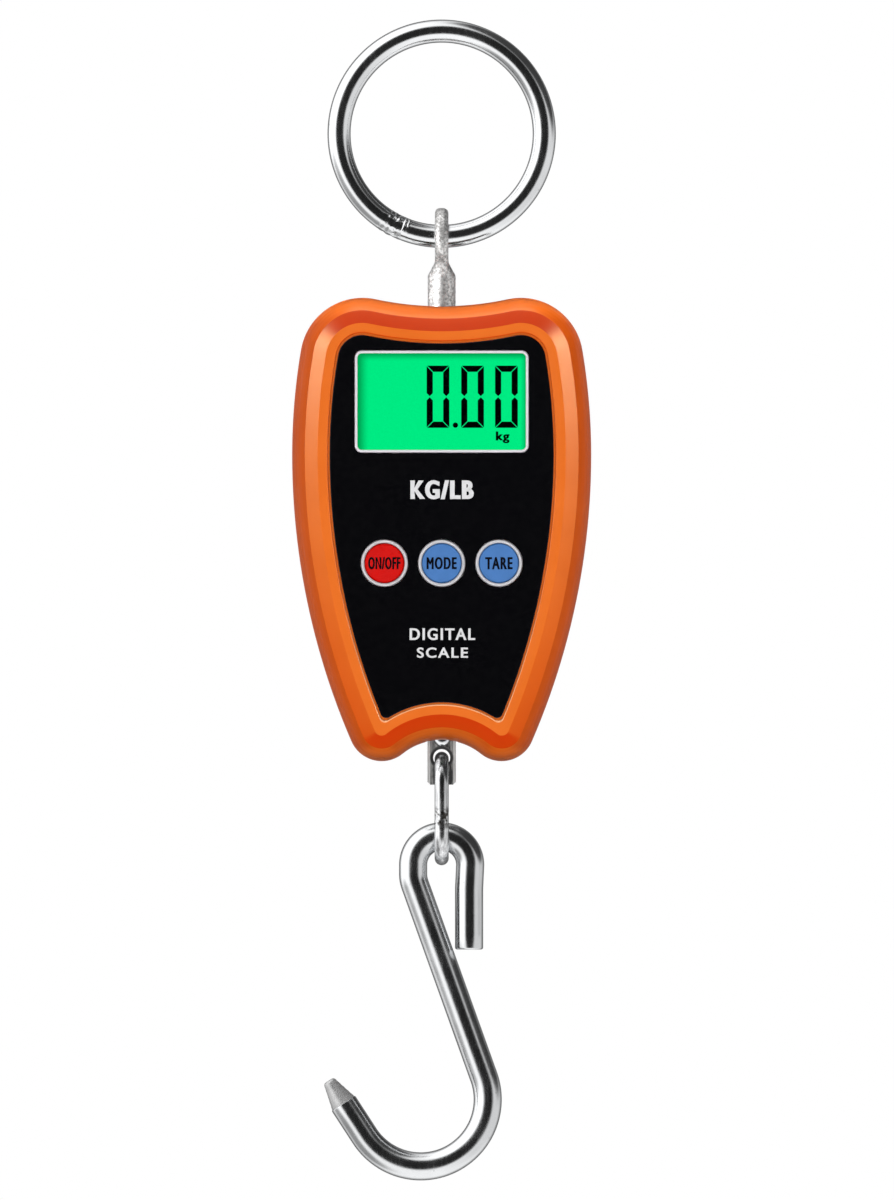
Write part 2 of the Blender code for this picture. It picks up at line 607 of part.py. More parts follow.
def make_screws():
    for i, (x, z) in enumerate(SHELL_SCREWS, 1):
        screw(f"shell_screw_{i}", 2.5, SCREW_SEAT_Y + GAP, 1.1, -8.0, x, z)
    for i, (x, z) in enumerate(PCB_SCREWS, 1):
        screw(f"pcb_screw_{i}", 1.9, PCB_Y[1] + GAP, 0.85, -11.2, x, z, 0.9)
    for name, side in (("cell_screw_left", -1), ("cell_screw_right", 1)):
        screw(name, 2.2, -CELL_Y - GAP, 0.95, 11.0, side * CELL_SCREW[0], CELL_SCREW[1], 1.2)


def make_panel():
    panel = slab("front_panel", outline(PANEL_INSET), PANEL_FRONT_Y, PANEL_BACK_Y)
    put(panel, BLACK, HOUSING_BODY)
    window = rounded_rectangle(WINDOW[0] + 0.3, WINDOW[1] + 0.3, WINDOW_CORNER_R + 0.15,
                               (0.0, DISPLAY_Z))
    boolean(panel, slab("panel_window_tool", window, -16.0, -13.0))
    for x in BUTTONS.values():
        boolean(panel, rod("panel_button_tool", RIM_OUTER_R + 0.2, -16.0, -13.0, 24),
                at=(x, 0.0, BUTTON_Z))


# ---------------------------------------------------------------- display

def frame_solid(name, outer, outer_r, inner, inner_r, y_front, y_back):
    """A rectangular frame with round corners, in one piece."""
    out = rounded_rectangle(*outer, outer_r)
    hole = rounded_rectangle(*inner, inner_r)
    bm = bmesh.new()
    rings = [[bm.verts.new((x, y, z)) for x, z in loop]
             for loop, y in ((out, y_front), (out, y_back), (hole, y_back), (hole, y_front))]
    for low, high in zip(rings, rings[1:] + rings[:1]):
        for i in range(len(low)):
            j = (i + 1) % len(low)
            bm.faces.new((low[i], low[j], high[j], high[i]))
    return object_from(bm, name)


def make_display():
    at = (0.0, 0.0, DISPLAY_Z)
    clear = (WINDOW[0] - 2 * FRAME_WIDTH, WINDOW[1] - 2 * FRAME_WIDTH)
    inner_r = WINDOW_CORNER_R - FRAME_WIDTH
    bezel = frame_solid("lcd_bezel", WINDOW, WINDOW_CORNER_R, clear, inner_r,
                        BEZEL_FRONT_Y, FLANGE_BACK_Y)
    put(bezel, FRAME_WHITE, HOUSING_BODY, at)
    flange = frame_solid("bezel_flange_tool", (WINDOW[0] + 3.0, WINDOW[1] + 3.0), 2.5,
                         (clear[0] + 0.4, clear[1] + 0.4), inner_r, FLANGE_FRONT_Y, FLANGE_BACK_Y - 0.02)
    boolean(bezel, flange, "UNION", at)
    lens = slab("lcd_window", rounded_rectangle(clear[0] - 0.3, clear[1] - 0.3, 1.0), -14.3, -13.5)
    put(lens, LENS, HOUSING_BODY, at)
    glass = slab("lcd_glass", rounded_rectangle(47.0, 31.0, 0.5, steps=1), *LCD_Y)
    put(glass, LCD_GREEN, HOUSING_BODY, at)
    light = block("lcd_backlight", (-22.5, BACKLIGHT_Y[0], -13.0), (22.5, BACKLIGHT_Y[1], 13.0), 0.2)
    put(light, DIFFUSER, HOUSING_BODY, at)
    holder = frame_solid("lcd_holder", (49.4, 33.4), 1.2, (47.6, 31.6), 0.6, LCD_Y[0] + 0.1, PCB_Y[0] - GAP)
    put(holder, HOLDER, HOUSING_BODY, at)
    for name, side in (("zebra_strip_upper", 1), ("zebra_strip_lower", -1)):
        strip = block(name, (-20.0, LCD_Y[1] + GAP, side * 14.3 - 0.8),
                      (20.0, PCB_Y[0] - GAP, side * 14.3 + 0.8))
        put(strip, RUBBER, HOUSING_BODY, at)


# ---------------------------------------------------------------- board and buttons

def make_board():
    board = block("main_pcb", (-PCB_X, PCB_Y[0], PCB_Z[0]), (PCB_X, PCB_Y[1], PCB_Z[1]))
    put(board, BOARD, HOUSING_BODY)
    for x, z in PCB_SCREWS:
        boolean(board, rod("board_hole_tool", 1.2, -9.0, -4.0, 12), at=(x, 0.0, z))
    back = PCB_Y[1] + GAP
    put(block("mcu_chip", (-23.0, back, -133.0), (-14.0, back + 1.3, -124.0), 0.2), CHIP, HOUSING_BODY)
    put(block("crystal", (-21.5, back, -121.5), (-15.5, back + 1.6, -119.0), 0.3), STEEL, HOUSING_BODY)
    put(rod("capacitor", 2.5, back, back + 5.2, 16, bevel=0.3), CHIP, HOUSING_BODY, (18.5, 0.0, -136.0))


def make_button(name, x, finish):
    body = BUTTON_BODIES[name]
    at = (x, 0.0, BUTTON_Z)
    cap = turned(f"{name}_button",
                 [(0.0, -15.75), (3.4, -15.7), (4.6, -15.58), (CAP_R, -15.25), (CAP_R, -11.3),
                  (6.4, -11.3), (6.4, -10.5), (0.0, -10.5)], 22)
    put(cap, finish, body, at)
    plunger = rod(f"{name}_switch_plunger", 1.7, -10.2, PLUNGER_END_Y, 14, bevel=0.2)
    put(plunger, CHIP, body, at)
    rim = turned(f"{name}_button_rim",
                 [(RIM_INNER_R, -15.15), (RIM_INNER_R + 0.2, -15.35), (RIM_OUTER_R - 0.2, -15.35),
                  (RIM_OUTER_R, -15.15), (RIM_OUTER_R, FLANGE_FRONT_Y), (RIM_FLANGE_R, FLANGE_FRONT_Y),
                  (RIM_FLANGE_R, FLANGE_BACK_Y), (RIM_INNER_R, FLANGE_BACK_Y)], 22)
    put(rim, SILVER, HOUSING_BODY, at)
    switch = block(f"{name}_switch", (x - 3.0, -9.4, BUTTON_Z - 3.0), (x + 3.0, PCB_Y[0] - GAP, BUTTON_Z + 3.0))
    put(switch, CHIP, HOUSING_BODY)
    well = rod("switch_well_tool", 1.9, -11.0, PLUNGER_END_Y + BUTTON_TRAVEL + 0.2, 14)
    boolean(switch, well, at=at)


# ---------------------------------------------------------------- power

def make_tray():
    low_y, high_y = TRAY_Y
    tray = block("battery_tray", (-TRAY_X, low_y, TRAY_Z[0]), (TRAY_X, high_y, TRAY_Z[1]))
    put(tray, TRAY_BLACK, HOUSING_BODY)
    for side in (-1, 1):
        ends = sorted((side * (TRAY_X - 0.5), side * 15.6))
        lip = block("tray_lip_tool", (ends[0], high_y - 0.9, -134.0), (ends[1], high_y - 0.02, -90.0))
        boolean(tray, lip, "UNION")
    hollow = block("tray_hollow_tool", (-TRAY_X + TRAY_WALL, low_y + 0.8, TRAY_Z[0] + TRAY_WALL),
                   (TRAY_X - TRAY_WALL, high_y + 2.0, TRAY_Z[1] - TRAY_WALL))
    boolean(tray, hollow)


def make_battery(name, x, top_z, nub_up):
    """A cell whose body and contact nub fill the length below top_z."""
    nub = 1.0
    low = top_z - BATTERY_LENGTH - nub
    profile = [(0.0, low), (BATTERY_R - 0.4, low), (BATTERY_R, low + 0.4),
               (BATTERY_R, top_z - nub - 0.4), (BATTERY_R - 0.4, top_z - nub),
               (1.9, top_z - nub), (1.9, top_z), (0.0, top_z)]
    if not nub_up:
        profile = [(radius, low + top_z - height) for radius, height in reversed(profile)]
    put(turned(name, profile, 18, "Z"), CELL_WRAP, HOUSING_BODY, (x, BATTERY_Y, 0.0))


def make_spring(name, x, low, high):
    """A conical contact spring, wide end down or up with the order of low and high."""
    turns = 2.5
    count = int(turns * 8)
    points = []
    for i in range(count + 1):
        t = i / count
        angle = math.tau * turns * t
        radius = 3.9 - 1.7 * t
        points.append((radius * math.cos(angle), radius * math.sin(angle), low + (high - low) * t))
    put(wire(name, points, 0.3, 6), SPRING_STEEL, HOUSING_BODY, (x, BATTERY_Y, 0.0))


def make_power():
    make_tray()
    ceiling = TRAY_Z[1] - TRAY_WALL
    floor = TRAY_Z[0] + TRAY_WALL
    make_battery("battery_left", -BATTERY_X, ceiling - 0.9, True)
    make_battery("battery_right", BATTERY_X, floor + 0.9 + BATTERY_LENGTH + 1.0, False)
    for name, side in (("battery_contact_left", -1), ("battery_contact_right", 1)):
        ends = sorted((side * 0.8, side * 10.6))
        plate = block(name, (ends[0], 7.0, ceiling - 0.6), (ends[1], 14.6, ceiling - 0.3))
        put(plate, SPRING_STEEL, HOUSING_BODY)
    bridge = block("battery_contact_bridge", (-10.6, 7.0, floor + 0.3), (10.6, 14.6, floor + 0.6))
    put(bridge, SPRING_STEEL, HOUSING_BODY)
    make_spring("battery_spring_left", -BATTERY_X, floor + 1.25, ceiling - 0.9 - BATTERY_LENGTH - 1.65)
    make_spring("battery_spring_right", BATTERY_X, ceiling - 1.25, floor + 1.9 + BATTERY_LENGTH + 0.65)
    for name, side, finish in (("battery_lead_red", -1, LEAD_RED), ("battery_lead_black", 1, LEAD_BLACK)):
        knots = [(side * 8.0, 9.0, -85.0), (side * 12.0, 8.6, -83.8), (side * 16.0, 5.0, -84.5),
                 (side * 17.2, 0.0, -87.0), (side * 17.5, -3.6, -90.0), (side * 17.5, -5.0, -93.5)]
        put(wire(name, smooth_route(knots, 3), 0.55, 6), finish, HOUSING_BODY)
    knots = [(3.0, -1.5, -134.0), (4.2, -3.6, -134.0), (6.5, -5.1, -133.4), (10.0, -5.25, -131.6),
             (14.5, -5.25, -128.6), (18.5, -5.25, -126.5)]
    put(wire("load_cell_cable", smooth_route(knots, 3), 0.4, 6), LEAD_WHITE, HOUSING_BODY)


def make_door():
    low, high = DOOR_Z
    door = slab("battery_door", rounded_rectangle(2 * DOOR_X, high - low, 1.0, (0.0, (low + high) / 2), 3),
                DOOR_INNER_Y, REAR_Y)
    put(door, ORANGE, DOOR_BODY)
    for side in (-1, 1):
        neck = block("door_neck_tool", (side * 7.0 - 2.0, 15.0, high - 1.5),
                     (side * 7.0 + 2.0, DOOR_INNER_Y + 0.4, high - 0.2))
        boolean(door, neck, "UNION")
        tab = block("door_tab_tool", (side * 7.0 - 1.9, 15.05, high - 1.2), (side * 7.0 + 1.9, 15.75, high + 1.2))
        boolean(door, tab, "UNION")
    notch = turned("door_notch_tool", [(0.0, -1.5), (4.0, -1.5), (5.5, 0.0), (5.5, 3.0), (0.0, 3.0)], 16)
    notch.data.transform(Matrix.Scale(0.35, 4, (0, 1, 0)))
    boolean(door, notch, at=(0.0, REAR_Y + 0.7, low + 7.0))


make_ring()
make_eye_bolt()
make_load_cell()
make_link()
make_hook()
make_front_shell()
make_rear_shell()
make_screws()
make_panel()
make_display()
make_board()
make_button("power", BUTTONS["power"], RED)
make_button("mode", BUTTONS["mode"], BLUE)
make_button("tare", BUTTONS["tare"], BLUE)
make_power()
make_door()
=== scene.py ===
"""Looks for the hanging digital scale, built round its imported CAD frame.

Sizes are in millimetres in the frame's own axes: +Z up, -Y towards the reader of the display,
origin at the inner top of the hang ring. Meshes are made in metres, where the CAD puts them.
"""

import math

import bmesh
import bpy
from mathutils import Matrix, Vector, noise


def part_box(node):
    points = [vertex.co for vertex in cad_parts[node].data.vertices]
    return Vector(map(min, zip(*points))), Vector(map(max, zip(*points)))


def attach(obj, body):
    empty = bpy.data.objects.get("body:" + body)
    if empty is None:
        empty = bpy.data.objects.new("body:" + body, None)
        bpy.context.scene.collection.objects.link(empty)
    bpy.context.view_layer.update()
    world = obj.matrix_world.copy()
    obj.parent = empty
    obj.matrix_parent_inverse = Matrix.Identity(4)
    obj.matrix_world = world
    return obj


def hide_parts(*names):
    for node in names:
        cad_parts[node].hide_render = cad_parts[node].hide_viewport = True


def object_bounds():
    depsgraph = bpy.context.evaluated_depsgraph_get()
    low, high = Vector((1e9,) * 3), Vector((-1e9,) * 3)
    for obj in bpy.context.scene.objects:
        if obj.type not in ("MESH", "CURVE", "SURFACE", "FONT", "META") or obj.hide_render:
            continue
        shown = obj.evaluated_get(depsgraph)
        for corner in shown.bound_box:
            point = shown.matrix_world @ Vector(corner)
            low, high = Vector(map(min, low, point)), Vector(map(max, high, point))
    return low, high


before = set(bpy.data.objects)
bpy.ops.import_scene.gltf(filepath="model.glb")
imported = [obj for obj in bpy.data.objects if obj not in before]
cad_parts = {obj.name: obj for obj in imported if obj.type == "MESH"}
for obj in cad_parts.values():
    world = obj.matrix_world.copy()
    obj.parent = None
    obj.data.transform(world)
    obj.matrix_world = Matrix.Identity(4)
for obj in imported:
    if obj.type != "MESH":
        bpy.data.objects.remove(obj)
CAD_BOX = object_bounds()
MM = 0.001


def node_box(node):
    """A CAD node's low and high corner in millimetres."""
    low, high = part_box(node)
    return low / MM, high / MM


def placed(name, data):
    """A new object in the scene for a mesh, a text, a lamp or a camera."""
    item = bpy.data.objects.new(name, data)
    bpy.context.scene.collection.objects.link(item)
    return item


# ---- driving sizes

RING_LOW, RING_HIGH = node_box("hang_ring")
RING_WIRE_R = RING_HIGH.y
RING_MEAN_R = RING_HIGH.x - RING_WIRE_R
RING_Z = (RING_LOW.z + RING_HIGH.z) / 2
WELD_BEARING = math.radians(-117.7)
WELD_REACH = math.radians(5.0)
WELD_PIT_ANGLE = math.radians(-59.0)

EYE_HOLE_R = 4.2
EYE_OUTER_R = 8.0
EYE_THICK = 3.5
EYE_Z = node_box("eye_bolt")[1].z - EYE_OUTER_R
SHANK_R = 3.65
SHANK_TOP_Z = -61.0
SHANK_SHOWN_Z = -76.0
SHANK_END_Z = -101.2
THREAD_R = 3.0
THREAD_END_Z = node_box("eye_bolt")[0].z
THREAD_PITCH = 1.0

# Housing outline: arcs that meet as tangents, symmetric about X = 0.
HALF_WIDTH = node_box("front_shell")[1].x
WIDEST_Z = -108.0
TOP_DIP_Z = -68.9
TOP_CORNER = (20.8, -83.1)
TOP_CORNER_R = 16.4
ARCH_Z = -182.9
HORN = (15.75, -179.75)
HORN_R = 8.7
HORN_MIN_R = 1.5

# Housing sections: y of the faces that the parts line up on.
LAND_Y = node_box("front_shell")[0].y
RECESS_Y = -13.95
FRONT_INNER_Y = -12.5
REAR_Y = node_box("rear_shell")[1].y
REAR_INNER_Y = 16.2
PARTING_GAP = 0.3
LAND_OUTER, LAND_INNER = 6.8, 9.5      # insets of the land's two edges
SKIN_ANGLE = 22.0             # edges of the shells sharper than this stay sharp
SHANK_HOLE_R = 4.1
BAR_SLOT = (4.3, 3.4)

PANEL_INSET = 9.95
PANEL_FRONT_Y, PANEL_BACK_Y = node_box("front_panel")[0].y, node_box("front_panel")[1].y
BEZEL_LOW, BEZEL_HIGH = node_box("lcd_bezel")
DISPLAY_Z = (BEZEL_LOW.z + BEZEL_HIGH.z) / 2
WINDOW = (45.5, 26.7)
WINDOW_CORNER_R = 1.85
FRAME_WIDTH = 0.7
LCD_FRONT_Y = node_box("lcd_glass")[0].y
BUTTON_BOX = {name: node_box(f"{name}_button") for name in ("power", "mode", "tare")}
BUTTON_X = {name: (low.x + high.x) / 2 for name, (low, high) in BUTTON_BOX.items()}
BUTTON_Z = (BUTTON_BOX["mode"][0].z + BUTTON_BOX["mode"][1].z) / 2
CAP_FRONT_Y = BUTTON_BOX["mode"][0].y
CAP_R = 5.15
RIM_INNER_R = 5.27
RIM_OUTER_R = 6.1
RIM_FLANGE_R = 6.9

SHELL_SCREWS = [((low.x + high.x) / 2, (low.z + high.z) / 2)
                for low, high in (node_box(f"shell_screw_{i}") for i in (1, 2, 3, 4))]
SCREW_SEAT_Y = 6.0
SCREW_WELL_R = 2.9
FRONT_POST_R, REAR_POST_R = 2.9, 3.8
PILOT_R = 1.4
FIT_GAP = 0.3
DOOR_LOW, DOOR_HIGH = node_box("battery_door")
DOOR_X = DOOR_HIGH.x
DOOR_TOP_Z = -83.5
DOOR_INNER_Y = 16.6
DOOR_TAB_X = 7.0
WRAP_BAND_Z = -100.8

RIVET_Z = -182.15
WEB_Y = 1.8
BAR_HOLE_Z = -187.5
LINK_WIRE_R = node_box("chain_link")[1].x
LINK_BEND_R = 6.65
LINK_TOP_Z = -187.8
LINK_BOTTOM_Z = -213.95
LINK_WELD_Z = LINK_BOTTOM_Z + LINK_BEND_R + 1.2
LINK_BURN_Z = LINK_WELD_Z + 3.0
HOOK_WIRE_R = node_box("s_hook")[1].y
HOOK_TOP_Z = -208.2
HOOK_EYE_R = 7.5
HOOK_LEAN = math.radians(19.7)
HOOK_BEND_R = 7.9
HOOK_LEG_END = (7.2, -237.9)
BOWL = (-5.5, -277.3)
BOWL_R = 17.6
BOWL_END = math.radians(33.0)
TIP_STRAIGHT = 10.2
TIP_CONE = 7.1
TIP_SCALE = 0.46
TIP_RIDGES = 9
TIP_FIRST = -(TIP_RIDGES + 3)      # the point of the hook's path where the cone begins


# ---- camera, light and floor

VIEW_HEIGHT = 315.0           # of the picture, at VIEW_PLANE_Y
VIEW_PLANE_Y = -5.0
CAMERA_DISTANCE = 6000.0
VIEW_CENTRE = (1.4, -146.1)
AMBIENT = 0.14                # the room's level for matt surfaces
LAMP_AIM = Vector((0.0, 0.0, -0.13))
LAMP_REACH = 0.9
FLOOR_DROP = 0.032            # metres below the hook
FLOOR_R = 0.3
SKINS = bpy.data.collections.new("moulded_skins")
CASTINGS = bpy.data.collections.new("castings")


def make_camera():
    data = bpy.data.cameras.new("camera")
    data.sensor_width = 36.0
    data.lens = data.sensor_width * CAMERA_DISTANCE / VIEW_HEIGHT
    data.clip_end = 20.0
    camera = placed("camera", data)
    camera.location = Vector((VIEW_CENTRE[0], VIEW_PLANE_Y - CAMERA_DISTANCE, VIEW_CENTRE[1])) * MM
    camera.rotation_euler = (math.pi / 2, 0.0, 0.0)
    bpy.context.scene.camera = camera


def soft_light(name, bearing, height, width, tall, power, shown_in=None):
    """A softbox that faces the housing; bearing 0 is the camera's side, positive to +X.

    It lights matt surfaces and stays out of reflections, unless it is shown_in a collection of
    pieces: then it is only a reflection, and only in those.
    """
    data = bpy.data.lights.new(name, "AREA")
    data.shape = "RECTANGLE"
    data.size = width
    data.size_y = tall
    data.energy = power
    lamp = placed(name, data)
    turn, rise = math.radians(bearing), math.radians(height)
    away = Vector((math.sin(turn) * math.cos(rise), -math.cos(turn) * math.cos(rise), math.sin(rise)))
    lamp.location = LAMP_AIM + away * LAMP_REACH
    lamp.rotation_euler = away.to_track_quat("Z", "Y").to_euler()
    lamp.visible_diffuse = shown_in is None
    lamp.visible_glossy = lamp.visible_transmission = shown_in is not None
    lamp.light_linking.receiver_collection = shown_in


def make_world():
    """White for the camera; for reflections, a white room with darker openings front and rear."""
    world = bpy.data.worlds.new("studio")
    bpy.context.scene.world = world
    world.use_nodes = True
    world.node_tree.nodes.clear()
    sky = Tree(world.node_tree)
    towards = sky.node("ShaderNodeTexCoord").outputs["Generated"]

    def lobe(direction, *steps):
        """A smooth step in the cosine to a direction."""
        dot = sky.node("ShaderNodeVectorMath")
        dot.operation = "DOT_PRODUCT"
        sky.feed(dot.inputs[0], towards)
        sky.feed(dot.inputs[1], Vector(direction).normalized())
        return sky.ramp(dot.outputs["Value"], *steps)

    def white(level):
        return sky.node("ShaderNodeBackground", Color=(1.0, 1.0, 1.0), Strength=level).outputs["Background"]

    strength = lobe((0.10, -0.97, 0.20), 0.68, 0.86, 1.2, 0.02)
    for mask in (lobe((0, 1, 0), 0.25, 0.80, 1.0, 0.16),
                 lobe((0.90, -0.30, 0.10), 0.30, 0.80, 1.0, 0.72),
                 lobe((-0.85, -0.15, 0.45), 0.40, 0.85, 1.0, 1.35),
                 lobe((0.72, 0.05, 0.69), 0.66, 0.84, 1.0, 0.06),
                 lobe((-0.78, -0.10, -0.62), 0.80, 0.97, 1.0, 0.30)):
        strength = sky.times(strength, mask)
    shown = white(strength)
    path = sky.node("ShaderNodeLightPath")
    for ray, level in (("Is Diffuse Ray", AMBIENT), ("Is Camera Ray", 1.0)):
        mix = sky.node("ShaderNodeMixShader", Fac=path.outputs[ray])
        sky.feed(mix.inputs[1], shown)
        sky.feed(mix.inputs[2], white(level))
        shown = mix.outputs["Shader"]
    sky.node("ShaderNodeOutputWorld", Surface=shown)


def make_stage():
    make_world()
    for name, side in (("left", -1), ("right", 1)):
        soft_light(f"side_strip_{name}", side * 50, 20, 0.20, 0.4, 24.0, SKINS)
        soft_light(f"side_light_{name}", side * 62, 6, 0.4, 0.6, 1.6)
        soft_light(f"rim_light_{name}", side * 135, 0, 0.3, 0.6, 3.2)
    soft_light("top_light", 0, 97, 0.5, 0.25, 8.0)
    soft_light("front_light", 0, 0, 0.5, 0.5, 4.6)
    soft_light("low_light", 0, -28, 0.5, 0.3, 1.1)
    soft_light("edge_strip", 0, 80, 0.5, 0.12, 24.0, SKINS)
    soft_light("casting_strip", -42, 0, 0.25, 0.5, 5.0, CASTINGS)
    bm = bmesh.new()
    bmesh.ops.create_circle(bm, cap_ends=True, segments=96, radius=FLOOR_R)
    bmesh.ops.translate(bm, verts=bm.verts, vec=(0.0, 0.0, CAD_BOX[0].z - FLOOR_DROP))
    mesh = bpy.data.meshes.new("floor")
    bm.to_mesh(mesh)
    bm.free()
    floor = placed("floor", mesh)
    floor.data.materials.append(surface("floor_paint", (0.9, 0.9, 0.9), 0.6, 0.01, 40.0, 0.05))
    floor.visible_glossy = False
    floor.visible_diffuse = False


# ---- materials

class Tree:
    """A node tree, with short calls for the nodes that these looks use."""

    def __init__(self, tree):
        self.tree = tree

    def feed(self, socket, value):
        """Link an output to a socket or set the socket; a colour is given without its alpha."""
        if isinstance(value, bpy.types.NodeSocket):
            self.tree.links.new(value, socket)
        else:
            socket.default_value = (*value, 1.0) if socket.type == "RGBA" else value

    def fill(self, node, inputs):
        """Feed a node's inputs by name; an underscore stands for a space."""
        for key, value in inputs.items():
            self.feed(node.inputs[key.replace("_", " ")], value)

    def node(self, kind, **inputs):
        made = self.tree.nodes.new(kind)
        self.fill(made, inputs)
        return made

    def ramp(self, value, start, end, low=0.0, high=1.0):
        """A value mapped smoothly from one range to another, held at both ends."""
        step = self.node("ShaderNodeMapRange", Value=value, From_Min=start, From_Max=end,
                         To_Min=low, To_Max=high)
        step.interpolation_type = "SMOOTHSTEP"
        return step.outputs["Result"]

    def maths(self, operation, first, second=0.0):
        made = self.node("ShaderNodeMath")
        made.operation = operation
        self.feed(made.inputs[0], first)
        self.feed(made.inputs[1], second)
        return made.outputs["Value"]

    def plus(self, first, second):
        return self.maths("ADD", first, second)

    def times(self, first, second):
        return self.maths("MULTIPLY", first, second)


class Graph(Tree):
    """A new material's node tree; its coordinates are the CAD's, in metres."""

    def __init__(self, name):
        self.material = bpy.data.materials.new(name)
        self.material.use_nodes = True
        super().__init__(self.material.node_tree)
        self.shader = self.tree.nodes["Principled BSDF"]
        coordinates = self.node("ShaderNodeTexCoord")
        self.place = coordinates.outputs["Object"]
        self.facing = coordinates.outputs["Normal"]

    def set(self, **sockets):
        """Set the shader's own sockets."""
        self.fill(self.shader, sockets)

    def link(self, source, socket):
        self.tree.links.new(source, self.shader.inputs[socket])

    def stretched(self, stretch):
        """Object coordinates scaled on each axis, so that a pattern can run along one."""
        return self.node("ShaderNodeMapping", Vector=self.place, Scale=stretch).outputs["Vector"]

    def noise(self, scale, detail=3.0, stretch=None, rough=0.5):
        place = self.stretched(stretch) if stretch else self.place
        made = self.node("ShaderNodeTexNoise", Vector=place, Scale=scale, Detail=detail, Roughness=rough)
        return made.outputs["Fac"]

    def speckle(self, scale):
        return self.node("ShaderNodeTexVoronoi", Vector=self.place, Scale=scale).outputs["Distance"]

    def axis(self, name, vector=None):
        """One component of the place, or of another vector."""
        return self.node("ShaderNodeSeparateXYZ", Vector=vector or self.place).outputs[name]

    def mix(self, factor, first, second):
        """Two colours mixed by a factor."""
        made = self.node("ShaderNodeMix")
        made.data_type = "RGBA"
        colours = [socket for socket in made.inputs if socket.type == "RGBA"]
        for socket, value in zip([made.inputs["Factor"]] + colours, (factor, first, second)):
            self.feed(socket, value)
        return next(socket for socket in made.outputs if socket.type == "RGBA")

    def mottle(self, pattern, first, second, start=0.3, end=0.7):
        """A colour that goes from first to second as a pattern rises."""
        return self.mix(self.ramp(pattern, start, end), first, second)

    def gloss(self, pattern, low, high):
        """Roughness between low and high, as a pattern rises."""
        self.link(self.ramp(pattern, 0.3, 0.7, low, high), "Roughness")

    def bump(self, height, strength, depth):
        """Relief of a depth in millimetres."""
        made = self.node("ShaderNodeBump", Height=height, Strength=strength, Distance=depth * MM)
        self.link(made.outputs["Normal"], "Normal")


def shade(colour, factor):
    """A linear colour made lighter or darker."""
    return [min(1.0, c * factor) for c in colour]


def surface(name, colour, roughness, vary, grain, bump=0.1, depth=0.02, metallic=0.0, stretch=None,
            **sockets):
    """A finish with slight blotches of colour and gloss, and a fine grain in its relief.

    vary is the colour's part lighter and darker, grain the pattern's scale per metre, bump and
    depth the relief's strength and its height in millimetres.
    """
    graph = Graph(name)
    graph.set(Metallic=metallic, **sockets)
    blotch = graph.noise(grain * 0.22, 4.0, stretch)
    graph.link(graph.mottle(blotch, shade(colour, 1 - vary), shade(colour, 1 + vary)), "Base Color")
    fine = graph.noise(grain, 5.0, stretch, 0.6)
    graph.link(graph.ramp(fine, 0.25, 0.75, roughness - 0.08, roughness + 0.08), "Roughness")
    graph.bump(fine, bump, depth)
    return graph.material


LIP_FADE_Z = (-0.135, -0.155)  # metres, over which the lip's painted highlight and shade come in
LIP_FADE_Y = (-0.012, -0.013)


def make_orange():
    """Moulded satin plastic: a fine spark-eroded texture over faint flow marks.

    Its colour holds painted light and shade, set by the way a face turns: pale lands, painted shade on
    steep walls and on chamfers that tip up or down, painted light on steep faces at the top and
    bottom, and below the panel a painted highlight on the lip beside painted shade in the recess.
    Upward faces are the dullest.
    """
    graph = Graph("orange_plastic")
    graph.set(Specular_IOR_Level=0.11, Specular_Tint=(1.0, 0.85, 0.55))
    up = graph.axis("Z", graph.facing)
    frontal = graph.maths("ABSOLUTE", graph.axis("Y", graph.facing))
    flow = graph.noise(60.0, 3.0)
    land = graph.mottle(flow, (0.81, 0.150, 0.010), (0.85, 0.165, 0.014))
    # painted shade: steep walls are darker than the land
    wall = graph.mottle(flow, (0.66, 0.090, 0.003), (0.70, 0.100, 0.005))
    # painted shade on faces that tip downwards
    under = graph.mix(graph.ramp(up, -0.02, -0.32), land, (0.68, 0.044, 0.001))
    # painted shade, darker still, on faces that tip upwards
    chamfer_shade = graph.mix(graph.ramp(up, 0.20, 0.325), under, (0.54, 0.030, 0.001))
    # painted light on steep faces towards the top and bottom; the other steep faces keep the walls' painted
    # shade
    side = graph.mix(graph.ramp(graph.maths("ABSOLUTE", up), 0.55, 0.80), wall, (0.88, 0.155, 0.008))
    body = graph.mix(graph.ramp(frontal, 0.93, 0.80), chamfer_shade, side)
    # below the panel: a painted highlight on the lip's fillet, and painted shade on the recess wall beside
    # it
    low_front = graph.times(graph.ramp(graph.axis("Z"), *LIP_FADE_Z),
                            graph.ramp(graph.axis("Y"), *LIP_FADE_Y))
    lip = graph.times(low_front, graph.ramp(up, 0.10, 0.26))
    lip_highlight_and_shade = graph.mix(graph.ramp(frontal, 0.25, 0.55), (0.16, 0.008, 0.004), (1.0, 0.44, 0.20))
    graph.link(graph.mix(lip, body, lip_highlight_and_shade), "Base Color")
    fine = graph.noise(2600.0, 4.0, None, 0.6)
    graph.link(graph.plus(graph.ramp(fine, 0.3, 0.7, 0.28, 0.38), graph.ramp(up, 0.80, 0.95, 0.0, 0.45)),
               "Roughness")
    graph.bump(fine, 0.12, 0.02)
    return graph.material


def make_chrome(name, colour=(0.80, 0.81, 0.82), lines=(1.0, 1.0, 0.06), rough=0.11):
    """Polished plating over drawn wire: faint lines along the wire, small pits and haze."""
    graph = Graph(name)
    graph.set(Metallic=1.0)
    drawn = graph.noise(2600.0, 3.0, lines)
    haze = graph.noise(140.0, 4.0)
    pit = graph.ramp(graph.speckle(420.0), 0.04, 0.16)
    tone = graph.mottle(haze, shade(colour, 0.93), shade(colour, 1.03), 0.35, 0.75)
    graph.link(graph.mix(pit, shade(colour, 0.72), tone), "Base Color")
    graph.link(graph.plus(graph.ramp(haze, 0.3, 0.8, rough, rough + 0.08),
                          graph.ramp(drawn, 0.3, 0.8, 0.0, 0.07)), "Roughness")
    graph.bump(graph.plus(drawn, graph.times(pit, 0.7)), 0.07, 0.012)
    return graph.material


